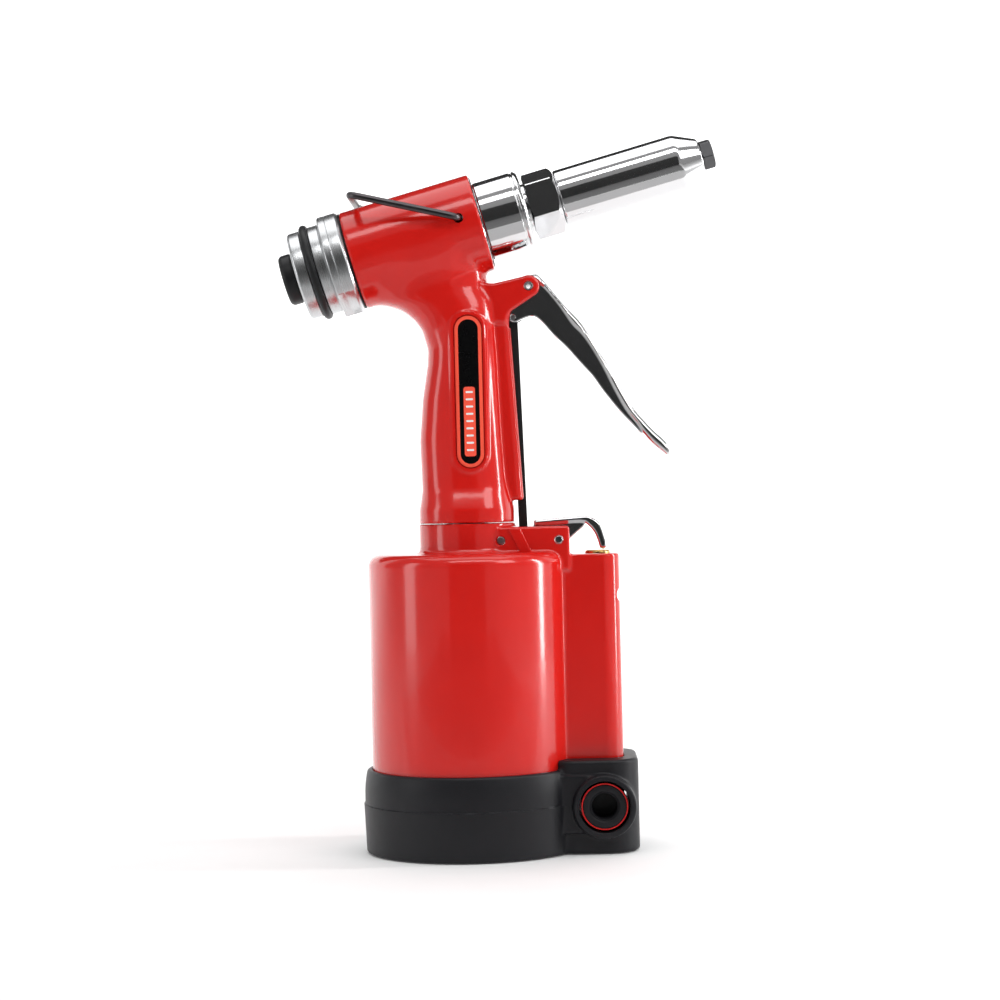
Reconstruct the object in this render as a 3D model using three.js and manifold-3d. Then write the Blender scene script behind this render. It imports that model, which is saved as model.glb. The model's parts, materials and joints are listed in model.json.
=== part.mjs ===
// Pneumatic rivet gun: an air-hydraulic tool for blind rivets, built as separate pieces.
// Millimetres, +Z up, +X towards the nose, +Y to the tool's left.
// The origin is on the power cylinder's axis, on the underside of the base boot.

import * as THREE from "three";
import { mergeVertices } from "three/addons/utils/BufferGeometryUtils.js";
import Module from "manifold-3d";

const wasm = await Module();
wasm.setup();

// ---------------------------------------------------------------- clearances
const SEAT_GAP = 0.3; // between pieces that seat on each other
const PIN_PLAY = 0.15; // radial, a pin in its hole
const SLIDE_PLAY = 0.25; // radial, a piston or plunger in its bore
const LINK_PLAY = 0.45; // radial, the open pivot between the link bar and the rocker

// ------------------------------------------------------------ power cylinder
const CYLINDER_RADIUS = 42;
const CYLINDER_WALL = 4;
const CYLINDER_TOP = 124;
const CYLINDER_CROWN = 7; // thickness of the closed end
const SHOULDER_ROUND = 5;
const NECK_RADIUS = 20.2;
const NECK_HEIGHT = 12.2;

// -------------------------------------------------------------- valve column
const COLUMN_REACH = 21; // how far it stands out from the cylinder wall
const COLUMN_HALF_WIDTH = 15;
const COLUMN_CORNER = 7.5;
const COLUMN_STEP = 1.4; // its top below the cylinder's top
const VALVE_OFFSET = 12.3; // valve axis, out from the cylinder wall
const PLUNGER_RADIUS = 5.2;
const PLUNGER_STAND = 1.3; // plunger above the column's top, at rest
const PLUNGER_LENGTH = 12;
const PLUNGER_TRAVEL = 2.75;
const VALVE_SPRING_LENGTH = 13;
const AIR_PASSAGE_RADIUS = 2.5;
const EXHAUST_GROOVE_RADIUS = 4.1;
const EXHAUST_GROOVE_DEPTH = 1.3;
const EXHAUST_DROP = 17.3; // groove's centre below the column's top

// ------------------------------------------------------------ rocker bracket
const BRACKET_HALF_WIDTH = 16;
const BRACKET_RISE = 10.4; // above the cylinder's top
const BRACKET_REACH = 0.6; // past the cylinder wall
const ROCKER_HALF_WIDTH = 4.2;
const ROCKER_PIVOT_IN = 3.9; // pivot inside the cylinder wall line
const ROCKER_PIVOT_RISE = 4.8; // pivot above the cylinder's top
const ROCKER_PIN_RADIUS = 1.7;
const ROCKER_ARM = 14.5; // pivot to the link bar's lower pin
const NECK_PIN_RADIUS = 1.65;
const NECK_PIN_OFFSET = 14.2;

// ----------------------------------------------------------------- base boot
const BOOT_FLOOR = 3;
const BOOT_WALL = 3.4;
const BOOT_RIDGE_HEIGHT = 20.2;
const BOOT_RIM_HEIGHT = 34.3;
const BOOT_PLAY = 0.4; // round the cylinder and the column
const HOUSING_HEIGHT = 38.2;
const HOUSING_HALF_WIDTH = 25;
const HOUSING_WALL = 5.8; // past the column's end
const HOUSING_CORNER = 12.5;
const BOSS_RADIUS = 13;
const BOSS_STAND = 4; // boss face past the housing's side

// --------------------------------------------------------- inlet slide valve
const INLET_HEIGHT = 19.4;
const SPOOL_HEAD_RADIUS = 9.6;
const SPOOL_RADIUS = 6.6;
const SPOOL_RECESS = 2.5; // spool face inside the boss face
const SPOOL_TRAVEL = 5;
const INLET_BORE_RADIUS = 5.6;
const INLET_BORE_DEPTH = 15;
const RED_RING_WIDTH = 0.5;
const BOSS_BORE_CLEARANCE = 1;

// ----------------------------------------------------------- power train
const AIR_PISTON_LENGTH = 11;
const AIR_PISTON_STROKE = 60;
const RAM_RADIUS = 5;
const OIL_TUBE_RADIUS = 9;
const GLAND_RADIUS = 11.5;
const END_COVER_THICKNESS = 6;
const SNAP_RING_THICKNESS = 1.6;

// -------------------------------------------------------------------- handle
const HANDLE_RISE = 123.5; // neck seam to the head's axis
const GRIP_HALF_WIDTH = 15.8;
const FOOT_RADIUS = 19.9;
const RIDGE_HALF_WIDTH = 7;
const RIDGE_LEAN = 3.1; // degrees, its top leans back
const CHANNEL_HALF_WIDTH = 3;
const LABEL_LENGTH = 62.8;
const LABEL_WIDTH = 11.2;
const LABEL_DEPTH = 1.4;
const LABEL_THICKNESS = 0.8;

// ---------------------------------------------------------------------- head
const HEAD_TILT = 15.3; // degrees, nose up
const HEAD_RADIUS = 20.8;
const HEAD_WALL = 3.8;
const HEAD_REAR = -47.2;
const HEAD_FRONT = 9.05;
const WASHER_THICKNESS = 0.5;
const END_CAP_RADIUS = 21.6;
const END_CAP_NECK_RADIUS = 18.9;
const END_CAP_FLANGE_RADIUS = 18.5;
const END_CAP_LENGTH = 23;
const BUMPER_RADIUS = 20.4;
const BUMPER_THICKNESS = 3.6;
const OUTLET_RADIUS = 10.7;
const OUTLET_LENGTH = 6.3;
const OUTLET_BORE_RADIUS = 5;
const COLLAR_STEP = 4.2; // collar inside the head's radius
const COLLAR_LENGTH = 19.1;
const NUT_FLATS = 25;
const NUT_LENGTH = 13.1;
const SLEEVE_RADIUS = 12;
const SLEEVE_LENGTH = 51.9;
const SLEEVE_WALL = 2.6;
const CONE_LENGTH = 9.8;
const CONE_END_RADIUS = 7.7;
const TIP_CORNER_RADIUS = 6.5;
const TIP_LENGTH = 5.1;
const TIP_BORE_RADIUS = 1.9;
const HEAD_STROKE = 16;
const PULL_ROD_RADIUS = 7;
const MANDREL_BORE_RADIUS = 3;
const JAW_CONE_ANGLE = 10; // degrees, half angle
const JAW_TRAVEL = 1.5; // along the case's cone

// -------------------------------------------------------------- hanger bail
const BAIL_WIRE_RADIUS = 1.45;
const BAIL_PIVOT = 0.4; // along the head, from the grip's axis
const BAIL_PIVOT_RISE = 2.1;
const BAIL_REACH = 45.8;
const BAIL_ANGLE = 28.5; // degrees off the head's axis, at rest
const BAIL_SIDE_GAP = 1.2;
const BAIL_BEND = 5;

// ------------------------------------------------------------------- trigger
const TRIGGER_PIVOT_X = 28;
const TRIGGER_PIVOT_DROP = 25.4; // below the head's axis height
const TRIGGER_PIN_RADIUS = 1.75;
const TRIGGER_HALF_WIDTH = 5.2;
const TRIGGER_PLATE_HALF_WIDTH = 6.3;
const EAR_HALF_WIDTH = 8.5;
const EAR_RADIUS = 4.7;
const TAIL = [-6.8, -12.7]; // link pin, from the trigger's pivot
const LINK_PIN_RADIUS = 1;
const LINK_BAR_HALF_WIDTH = 2;
const LINK_BAR_DEPTH = 3.6;

// ------------------------------------------------- places worked out from them
const NECK_TOP = CYLINDER_TOP + NECK_HEIGHT;
const SEAM = NECK_TOP + SEAT_GAP;
const HEAD_HEIGHT = SEAM + HANDLE_RISE;
const CYLINDER_BOTTOM = BOOT_FLOOR + SEAT_GAP;
const BORE_RADIUS = CYLINDER_RADIUS - CYLINDER_WALL;
const COLUMN_END = CYLINDER_RADIUS + COLUMN_REACH;
const COLUMN_TOP = CYLINDER_TOP - COLUMN_STEP;
const VALVE_X = CYLINDER_RADIUS + VALVE_OFFSET;
const BRACKET_END = CYLINDER_RADIUS + BRACKET_REACH;
const BRACKET_TOP = CYLINDER_TOP + BRACKET_RISE;
const ROCKER_PIVOT = [CYLINDER_RADIUS - ROCKER_PIVOT_IN, CYLINDER_TOP + ROCKER_PIVOT_RISE];
const ROCKER_LINK = [ROCKER_PIVOT[0] - ROCKER_ARM, ROCKER_PIVOT[1] - 0.4];
const ROCKER_SLOT_HALF_WIDTH = ROCKER_HALF_WIDTH + 0.5;
const FORK_HALF_GAP = LINK_BAR_HALF_WIDTH + 0.4;
const BOOT_RADIUS = CYLINDER_RADIUS + BOOT_WALL;
const HOUSING_END = COLUMN_END + HOUSING_WALL;
const BOSS_FACE = HOUSING_HALF_WIDTH + BOSS_STAND;
const SPOOL_FACE = BOSS_FACE - SPOOL_RECESS;
const TRIGGER_PIVOT = [TRIGGER_PIVOT_X, HEAD_HEIGHT - TRIGGER_PIVOT_DROP];
const TRIGGER_LINK = [TRIGGER_PIVOT[0] + TAIL[0], TRIGGER_PIVOT[1] + TAIL[1]];
const EAR_SLOT_HALF_WIDTH = TRIGGER_HALF_WIDTH + 0.4;
const HEAD_BORE_RADIUS = HEAD_RADIUS - HEAD_WALL;
const COVER_BOTTOM = CYLINDER_BOTTOM + 4;
const COVER_TOP = COVER_BOTTOM + END_COVER_THICKNESS;
const AIR_PISTON_BOTTOM = COVER_TOP + 2;
const AIR_PISTON_TOP = AIR_PISTON_BOTTOM + AIR_PISTON_LENGTH;
const BORE_TOP = CYLINDER_TOP - CYLINDER_CROWN;
const GLAND_TOP = CYLINDER_TOP + 4;
const COLLAR_RADIUS = HEAD_RADIUS - COLLAR_STEP;
const COLLAR_START = HEAD_FRONT + WASHER_THICKNESS + 0.15;
const COLLAR_END = COLLAR_START + COLLAR_LENGTH;
const NUT_START = COLLAR_END + 1.2;
const NUT_END = NUT_START + NUT_LENGTH;
const SLEEVE_START = NUT_END + SEAT_GAP;
const ROD_FRONT = NUT_END + 1;
const CASE_REAR = ROD_FRONT + SEAT_GAP;
const CASE_RADIUS = SLEEVE_RADIUS - SLEEVE_WALL - 2 * SLIDE_PLAY;
const CONE_START = SLEEVE_START + SLEEVE_LENGTH;
const CONE_END = CONE_START + CONE_LENGTH;
const TIP_END = CONE_END + TIP_LENGTH;
const END_CAP_FRONT = HEAD_REAR - WASHER_THICKNESS - 0.15;
const END_CAP_REAR = END_CAP_FRONT - END_CAP_LENGTH;
const BUMPER_CENTRE = END_CAP_REAR + 7.3;

// ----------------------------------------------------------------- finishes
function finish(color, roughness, metalness) {
  return new THREE.MeshStandardMaterial({ color, roughness, metalness });
}
const RED_PAINT = finish(0xc3180f, 0.25, 0);
const CHROME = finish(0xd8d8d8, 0.08, 1);
const SATIN_ALUMINIUM = finish(0xcfd0d2, 0.22, 1);
const STEEL = finish(0x8e9094, 0.35, 1);
const DARK_STEEL = finish(0x3a3b3d, 0.4, 1);
const BRASS = finish(0xd0a44c, 0.28, 1);
const BLACK_PLASTIC = finish(0x1d1d1f, 0.6, 0);
const BLACK_RUBBER = finish(0x121214, 0.55, 0);
const RED_PLASTIC = finish(0xc8141c, 0.4, 0);
const LABEL_INK = finish(0x0a0a0b, 0.3, 0);

// -------------------------------------------------------------------- solids
const DEGREE = Math.PI / 180;
const FINE = 40; // sides of the large rounds
const ROUND = 24;
const SMALL = 12;
const PAST = 1; // how far a cut runs past the face it opens

// A closed three.js geometry as a solid with its faces outwards.
function solid(geometry, matrix = new THREE.Matrix4()) {
  const bare = new THREE.BufferGeometry();
  const flat = geometry.index ? geometry.toNonIndexed() : geometry;
  bare.setAttribute("position", flat.getAttribute("position").clone());
  bare.applyMatrix4(matrix);
  const merged = mergeVertices(bare, 1e-4);
  const points = merged.getAttribute("position").array;
  const corners = merged.index.array;
  const triangles = [];
  let volume = 0;
  const at = (i) => new THREE.Vector3().fromArray(points, 3 * i);
  for (let i = 0; i < corners.length; i += 3) {
    const [a, b, c] = corners.subarray(i, i + 3);
    if (a === b || b === c || c === a) continue;
    triangles.push([a, b, c]);
    volume += at(a).dot(at(b).cross(at(c)));
  }
  if (volume < 0) triangles.forEach((triangle) => triangle.reverse());
  return new wasm.Manifold(
    new wasm.Mesh({
      numProp: 3,
      vertProperties: new Float32Array(points),
      triVerts: new Uint32Array(triangles.flat()),
    }),
  );
}

const join = (first, ...others) => others.reduce((all, next) => all.add(next), first);
const cut = (first, ...others) => others.reduce((all, next) => all.subtract(next), first);

// Turns [radius, height] pairs about +Z, or about +X or +Y when axis says so.
function lathe(profile, segments, axis = "z") {
  const points = profile.map(([radius, height]) => new THREE.Vector2(radius, height));
  const turn = new THREE.Matrix4();
  if (axis === "z") turn.makeRotationX(90 * DEGREE);
  if (axis === "x") turn.makeRotationZ(-90 * DEGREE);
  return solid(new THREE.LatheGeometry(points, segments), turn);
}

// A round bar along an axis, from one height to another.
const bar = (radius, low, high, segments, axis = "z") =>
  lathe([[0, low], [radius, low], [radius, high], [0, high]], segments, axis);

// A washer or bush along an axis.
const ring = (inner, outer, low, high, segments, axis = "z") =>
  lathe([[inner, low], [outer, low], [outer, high], [inner, high], [inner, low]], segments, axis);

// A round cord closed on itself, about an axis.
function cordRing(middleRadius, cordRadius, height, segments, axis = "z") {
  const sides = 6;
  const profile = [];
  for (let i = 0; i <= sides; i++) {
    const angle = (2 * Math.PI * (i % sides)) / sides + Math.PI / sides;
    profile.push([middleRadius + cordRadius * Math.cos(angle), height + cordRadius * Math.sin(angle)]);
  }
  return lathe(profile, segments, axis);
}

// A shape from [x, y, corner radius] points; a corner with no radius stays sharp.
function outline(corners) {
  const shape = new THREE.Shape();
  corners.forEach(([x, y, radius = 0], i) => {
    const corner = new THREE.Vector2(x, y);
    const toward = (other) => {
      const direction = new THREE.Vector2(other[0] - x, other[1] - y);
      return corner.clone().add(direction.setLength(Math.min(radius, direction.length() / 2)));
    };
    const before = toward(corners.at(i - 1));
    const after = toward(corners[(i + 1) % corners.length]);
    if (i === 0) shape.moveTo(before.x, before.y);
    else shape.lineTo(before.x, before.y);
    if (radius > 0) shape.quadraticCurveTo(x, y, after.x, after.y);
  });
  shape.closePath();
  return shape;
}

const rectangle = (left, right, low, high, radius = 0) =>
  outline([[left, low, radius], [right, low, radius], [right, high, radius], [left, high, radius]]);

// A plan outline pulled up from one height to another.
function slab(shape, low, high, curveSegments = 5) {
  const geometry = new THREE.ExtrudeGeometry(shape, { depth: high - low, bevelEnabled: false, curveSegments });
  return solid(geometry, new THREE.Matrix4().makeTranslation(0, 0, low));
}

// A side-view outline (x, z) pulled across, from one y to another.
function plate(shape, right, left, curveSegments = 5) {
  const geometry = new THREE.ExtrudeGeometry(shape, { depth: left - right, bevelEnabled: false, curveSegments });
  const turn = new THREE.Matrix4().makeRotationX(90 * DEGREE);
  return solid(geometry, new THREE.Matrix4().makeTranslation(0, left, 0).multiply(turn));
}

// A pin across the tool, at [x, z].
function crossPin([x, z], radius, halfLength, segments = SMALL) {
  return bar(radius, -halfLength, halfLength, segments, "y").translate([x, 0, z]);
}

// A spring of round wire along +Z.
function spring(coilRadius, wireRadius, low, high, turns) {
  const stepsPerTurn = 9;
  class Helix extends THREE.Curve {
    getPoint(share, target = new THREE.Vector3()) {
      const angle = 2 * Math.PI * turns * share;
      const height = low + wireRadius + (high - low - 2 * wireRadius) * share;
      return target.set(coilRadius * Math.cos(angle), coilRadius * Math.sin(angle), height);
    }
  }
  const section = new THREE.Shape().absarc(0, 0, wireRadius, 0, 2 * Math.PI);
  const settings = { steps: turns * stepsPerTurn, extrudePath: new Helix(), curveSegments: 3 };
  return solid(new THREE.ExtrudeGeometry(section, settings));
}

// A closed skin through level rings: each is [height, back, front, half width].
function loft(rings, sides) {
  const points = [];
  const faces = [];
  const squareness = 0.86; // below 1 fills the section out towards its corners
  const shaped = (value) => Math.sign(value) * Math.abs(value) ** squareness;
  for (const [height, back, front, halfWidth] of rings)
    for (let i = 0; i < sides; i++) {
      const angle = (2 * Math.PI * i) / sides;
      const x = (back + front) / 2 + ((front - back) / 2) * shaped(Math.cos(angle));
      points.push(x, halfWidth * shaped(Math.sin(angle)), height);
    }
  for (let level = 0; level + 1 < rings.length; level++)
    for (let i = 0; i < sides; i++) {
      const [a, b] = [level * sides + i, level * sides + ((i + 1) % sides)];
      faces.push(a, b, b + sides, a, b + sides, a + sides);
    }
  for (let i = 1; i + 1 < sides; i++) {
    const top = (rings.length - 1) * sides;
    faces.push(0, i + 1, i, top, top + i, top + i + 1);
  }
  const geometry = new THREE.BufferGeometry();
  geometry.setAttribute("position", new THREE.Float32BufferAttribute(points, 3));
  geometry.setIndex(faces);
  return solid(geometry);
}

// --------------------------------------------------------------- scene graph
const rivetGun = new THREE.Group();
const head = new THREE.Group();
head.position.z = HEAD_HEIGHT;
head.rotation.y = -HEAD_TILT * DEGREE;
rivetGun.add(head);

function addPiece(name, shape, material, parent = rivetGun) {
  const { vertProperties, triVerts } = shape.getMesh();
  const geometry = new THREE.BufferGeometry();
  geometry.setAttribute("position", new THREE.BufferAttribute(vertProperties, 3));
  geometry.setIndex(new THREE.BufferAttribute(triVerts, 1));
  geometry.computeVertexNormals();
  const mesh = new THREE.Mesh(geometry, material.clone());
  mesh.name = name;
  parent.add(mesh);
}

// A shape drawn along the head's axis, moved to where the head sits.
const onHead = (shape) => shape.rotate([0, -HEAD_TILT, 0]).translate([0, 0, HEAD_HEIGHT]);

// ----------------------------------------------------------------- base boot
function baseBoot() {
  const rim = BOOT_RADIUS - 1.2;
  const ringShape = lathe(
    [
      [0, 0],
      [BOOT_RADIUS - 1.4, 0],
      [BOOT_RADIUS - 0.2, 1.2],
      [BOOT_RADIUS + 0.6, BOOT_RIDGE_HEIGHT - 0.4],
      [BOOT_RADIUS + 0.1, BOOT_RIDGE_HEIGHT],
      [BOOT_RADIUS, BOOT_RIDGE_HEIGHT + 6],
      [rim, BOOT_RIM_HEIGHT - 0.6],
      [rim - 0.5, BOOT_RIM_HEIGHT],
      [0, BOOT_RIM_HEIGHT],
    ],
    FINE,
  );
  const housingPlan = (inset) =>
    rectangle(
      30 + inset,
      HOUSING_END - inset,
      -HOUSING_HALF_WIDTH + inset,
      HOUSING_HALF_WIDTH - inset,
      HOUSING_CORNER - inset,
    );
  const housing = join(
    slab(housingPlan(0), 0, HOUSING_HEIGHT - 1.3),
    slab(housingPlan(1.5), 1, HOUSING_HEIGHT),
  );
  const boss = bar(BOSS_RADIUS, -BOSS_FACE, BOSS_FACE, ROUND, "y").translate([VALVE_X, 0, INLET_HEIGHT]);
  const padLow = INLET_HEIGHT - BOSS_RADIUS + 2.3;
  const pad = plate(
    rectangle(36, VALVE_X, padLow, INLET_HEIGHT + BOSS_RADIUS),
    -HOUSING_HALF_WIDTH - 1.4,
    HOUSING_HALF_WIDTH + 1.4,
  );
  const bossBore = SPOOL_HEAD_RADIUS + BOSS_BORE_CLEARANCE;
  return cut(
    join(ringShape, housing, boss, pad),
    bar(CYLINDER_RADIUS + BOOT_PLAY, BOOT_FLOOR, HOUSING_HEIGHT + PAST, FINE),
    slab(columnPlan(BOOT_PLAY), BOOT_FLOOR, HOUSING_HEIGHT + PAST),
    bar(bossBore, -BOSS_FACE - PAST, BOSS_FACE + PAST, ROUND, "y").translate([VALVE_X, 0, INLET_HEIGHT]),
  );
}

// ------------------------------------------------------ power cylinder casting
function columnPlan(spread) {
  const half = COLUMN_HALF_WIDTH + spread;
  const corner = COLUMN_CORNER + spread;
  const end = COLUMN_END + spread;
  return outline([[5, -half], [end, -half, corner], [end, half, corner], [5, half]]);
}

function airCylinder() {
  const profile = [[0, CYLINDER_BOTTOM], [CYLINDER_RADIUS, CYLINDER_BOTTOM]];
  const arcSteps = 5;
  for (let i = 0; i <= arcSteps; i++) {
    const angle = (90 * DEGREE * i) / arcSteps;
    profile.push([
      CYLINDER_RADIUS - SHOULDER_ROUND * (1 - Math.cos(angle)),
      CYLINDER_TOP - SHOULDER_ROUND * (1 - Math.sin(angle)),
    ]);
  }
  profile.push(
    [NECK_RADIUS + 1.6, CYLINDER_TOP],
    [NECK_RADIUS + 0.4, CYLINDER_TOP + 0.5],
    [NECK_RADIUS, CYLINDER_TOP + 1.8],
    [NECK_RADIUS, NECK_TOP],
    [0, NECK_TOP],
  );
  const bracketBottom = CYLINDER_TOP - 8;
  const bracket = plate(
    outline([[6, bracketBottom], [BRACKET_END, bracketBottom], [BRACKET_END, BRACKET_TOP, 1.6], [6, BRACKET_TOP]]),
    -BRACKET_HALF_WIDTH,
    BRACKET_HALF_WIDTH,
  );
  const ribTop = ROCKER_PIVOT[0] - 21;
  const rib = plate(
    outline([
      [ribTop, BRACKET_TOP - 0.6],
      [ribTop + 5.2, BRACKET_TOP - 0.6],
      [ribTop + 9.9, CYLINDER_TOP - 0.4],
      [ribTop + 5.1, CYLINDER_TOP - 0.4],
    ]),
    -BRACKET_HALF_WIDTH - 0.9,
    BRACKET_HALF_WIDTH + 0.9,
  );
  const body = join(lathe(profile, FINE), slab(columnPlan(0), CYLINDER_BOTTOM, COLUMN_TOP), bracket, rib);
  const slot = plate(
    rectangle(ROCKER_LINK[0] - 3.1, BRACKET_END + PAST, CYLINDER_TOP + 0.6, BRACKET_TOP + PAST),
    -ROCKER_SLOT_HALF_WIDTH,
    ROCKER_SLOT_HALF_WIDTH,
  );
  const grooveX = COLUMN_END + EXHAUST_GROOVE_RADIUS - EXHAUST_GROOVE_DEPTH;
  const exhaustHeight = COLUMN_TOP - EXHAUST_DROP;
  const plungerBoreBottom = COLUMN_TOP - PLUNGER_LENGTH - VALVE_SPRING_LENGTH;
  return cut(
    body,
    bar(BORE_RADIUS, CYLINDER_BOTTOM - PAST, BORE_TOP, FINE),
    bar(BORE_RADIUS + 1.4, COVER_BOTTOM - SNAP_RING_THICKNESS - 0.6, COVER_BOTTOM, FINE),
    bar(GLAND_RADIUS + SEAT_GAP, BORE_TOP - PAST, GLAND_TOP + SEAT_GAP, ROUND),
    bar(OIL_TUBE_RADIUS + SEAT_GAP, GLAND_TOP - PAST, NECK_TOP + PAST, ROUND),
    slot,
    crossPin(ROCKER_PIVOT, ROCKER_PIN_RADIUS + PIN_PLAY, BRACKET_HALF_WIDTH + PAST),
    crossPin([NECK_PIN_OFFSET, ROCKER_PIVOT[1]], NECK_PIN_RADIUS + PIN_PLAY, BRACKET_HALF_WIDTH + PAST),
    bar(PLUNGER_RADIUS + SLIDE_PLAY, plungerBoreBottom, COLUMN_TOP + PAST, ROUND).translate([VALVE_X, 0, 0]),
    bar(AIR_PASSAGE_RADIUS, INLET_HEIGHT, COLUMN_TOP, SMALL).translate([VALVE_X, 0, 0]),
    bar(SPOOL_RADIUS + SLIDE_PLAY, -HOUSING_HALF_WIDTH, HOUSING_HALF_WIDTH, ROUND, "y").translate([
      VALVE_X,
      0,
      INLET_HEIGHT,
    ]),
    crossPin([grooveX, exhaustHeight], EXHAUST_GROOVE_RADIUS, COLUMN_HALF_WIDTH + PAST, ROUND),
    bar(1.6, VALVE_X, COLUMN_END + PAST, SMALL, "x").translate([0, 0, exhaustHeight]),
  );
}

function powerTrain() {
  const coverPlay = BORE_RADIUS - SEAT_GAP;
  const sealMiddle = COVER_BOTTOM + END_COVER_THICKNESS / 2;
  const pistonMiddle = AIR_PISTON_BOTTOM + AIR_PISTON_LENGTH / 2;
  const sealRadius = 1.6;
  const groove = (middle) =>
    ring(BORE_RADIUS - 3.6, BORE_RADIUS + PAST, middle - 1.9, middle + 1.9, FINE);
  const seal = (middle) => cordRing(BORE_RADIUS - sealRadius - 0.12, sealRadius, middle, FINE);

  addPiece(
    "cover_snap_ring",
    cut(
      ring(BORE_RADIUS - 2.6, BORE_RADIUS + 1, COVER_BOTTOM - SNAP_RING_THICKNESS - 0.3, COVER_BOTTOM - 0.3, FINE),
      slab(rectangle(0, BORE_RADIUS + 5, -4, 4), 0, COVER_BOTTOM),
    ),
    STEEL,
  );
  addPiece(
    "cylinder_end_cover",
    cut(bar(coverPlay, COVER_BOTTOM, COVER_TOP, FINE), groove(sealMiddle)),
    SATIN_ALUMINIUM,
  );
  addPiece("end_cover_seal", seal(sealMiddle), BLACK_RUBBER);
  addPiece(
    "air_piston",
    cut(
      bar(BORE_RADIUS - SLIDE_PLAY, AIR_PISTON_BOTTOM, AIR_PISTON_TOP, FINE),
      groove(pistonMiddle),
      bar(RAM_RADIUS + SEAT_GAP, AIR_PISTON_BOTTOM + 4, AIR_PISTON_TOP + PAST, ROUND),
    ),
    SATIN_ALUMINIUM,
  );
  addPiece("air_piston_seal", seal(pistonMiddle), BLACK_RUBBER);
  addPiece("hydraulic_ram", bar(RAM_RADIUS, AIR_PISTON_BOTTOM + 4 + SEAT_GAP, CYLINDER_TOP + 2, ROUND), CHROME);
  addPiece(
    "air_piston_spring",
    spring(16, 1.3, AIR_PISTON_TOP + SEAT_GAP, BORE_TOP - SEAT_GAP, 6),
    STEEL,
  );
  addPiece(
    "ram_gland",
    ring(RAM_RADIUS + SLIDE_PLAY, GLAND_RADIUS, BORE_TOP + SEAT_GAP, GLAND_TOP, ROUND),
    BRASS,
  );
  addPiece(
    "oil_tube",
    ring(RAM_RADIUS + 1, OIL_TUBE_RADIUS, GLAND_TOP + 2 * SEAT_GAP, HEAD_HEIGHT - HEAD_RADIUS - 6, ROUND),
    STEEL,
  );
  addPiece("neck_lock_pin", crossPin([NECK_PIN_OFFSET, ROCKER_PIVOT[1]], NECK_PIN_RADIUS, BRACKET_HALF_WIDTH), STEEL);
}

// ------------------------------------------------------------ throttle valve
function throttleValve() {
  const top = COLUMN_TOP + PLUNGER_STAND;
  const low = top - PLUNGER_LENGTH;
  const grooveMiddle = COLUMN_TOP - 5;
  const atValve = (shape) => shape.translate([VALVE_X, 0, 0]);
  const plunger = lathe(
    [
      [0, low],
      [PLUNGER_RADIUS - 2, low],
      [PLUNGER_RADIUS - 2, low + 2],
      [PLUNGER_RADIUS, low + 2],
      [PLUNGER_RADIUS, grooveMiddle - 1.2],
      [PLUNGER_RADIUS - 1.7, grooveMiddle - 1.2],
      [PLUNGER_RADIUS - 1.7, grooveMiddle + 1.2],
      [PLUNGER_RADIUS, grooveMiddle + 1.2],
      [PLUNGER_RADIUS, top - 0.4],
      [PLUNGER_RADIUS - 0.4, top],
      [0, top],
    ],
    ROUND,
  );
  addPiece("valve_plunger", atValve(plunger), BRASS);
  addPiece("valve_plunger_seal", atValve(cordRing(PLUNGER_RADIUS - 0.75, 0.8, grooveMiddle, ROUND)), BLACK_RUBBER);
  const springLow = COLUMN_TOP - PLUNGER_LENGTH - VALVE_SPRING_LENGTH + SEAT_GAP;
  addPiece("valve_spring", atValve(spring(3.9, 0.5, springLow, low - SEAT_GAP, 5)), STEEL);
}

function rockerLever() {
  const [x, z] = ROCKER_PIVOT;
  const at = (points) => outline(points.map(([dx, dz, radius]) => [x + dx, z + dz, radius]));
  const lever = plate(
    at([
      [-10, 7.5, 1],
      [9.8, 9.5, 4],
      [16.2, 7.4, 4],
      [20.2, -2, 1],
      [19.8, -4, 0.8],
      [17.6, -4.7, 0.8],
      [16.6, -2.4, 1],
      [14.4, 2.8, 2],
      [10.6, 5.4, 1.5],
      [3.8, -1.4, 2.4],
      [0, -3.4, 2.4],
      [-12.5, -3, 2],
      [-17, -1.6, 2],
      [-16.4, 2.2, 2],
      [-10, 4, 1],
    ]),
    -ROCKER_HALF_WIDTH,
    ROCKER_HALF_WIDTH,
  );
  const fork = plate(
    rectangle(x - 20, ROCKER_LINK[0] + 4.6, z - 6, BRACKET_TOP + 10),
    -FORK_HALF_GAP,
    FORK_HALF_GAP,
  );
  const across = ROCKER_HALF_WIDTH + PAST;
  addPiece(
    "rocker_lever",
    cut(
      lever,
      fork,
      crossPin(ROCKER_PIVOT, ROCKER_PIN_RADIUS + PIN_PLAY, across),
      crossPin(ROCKER_LINK, LINK_PIN_RADIUS + PIN_PLAY, across),
    ),
    CHROME,
  );
  addPiece("rocker_pin", crossPin(ROCKER_PIVOT, ROCKER_PIN_RADIUS, BRACKET_HALF_WIDTH + 0.1), CHROME);
  addPiece("rocker_link_pin", crossPin(ROCKER_LINK, LINK_PIN_RADIUS, ROCKER_HALF_WIDTH), STEEL);
}

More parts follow.
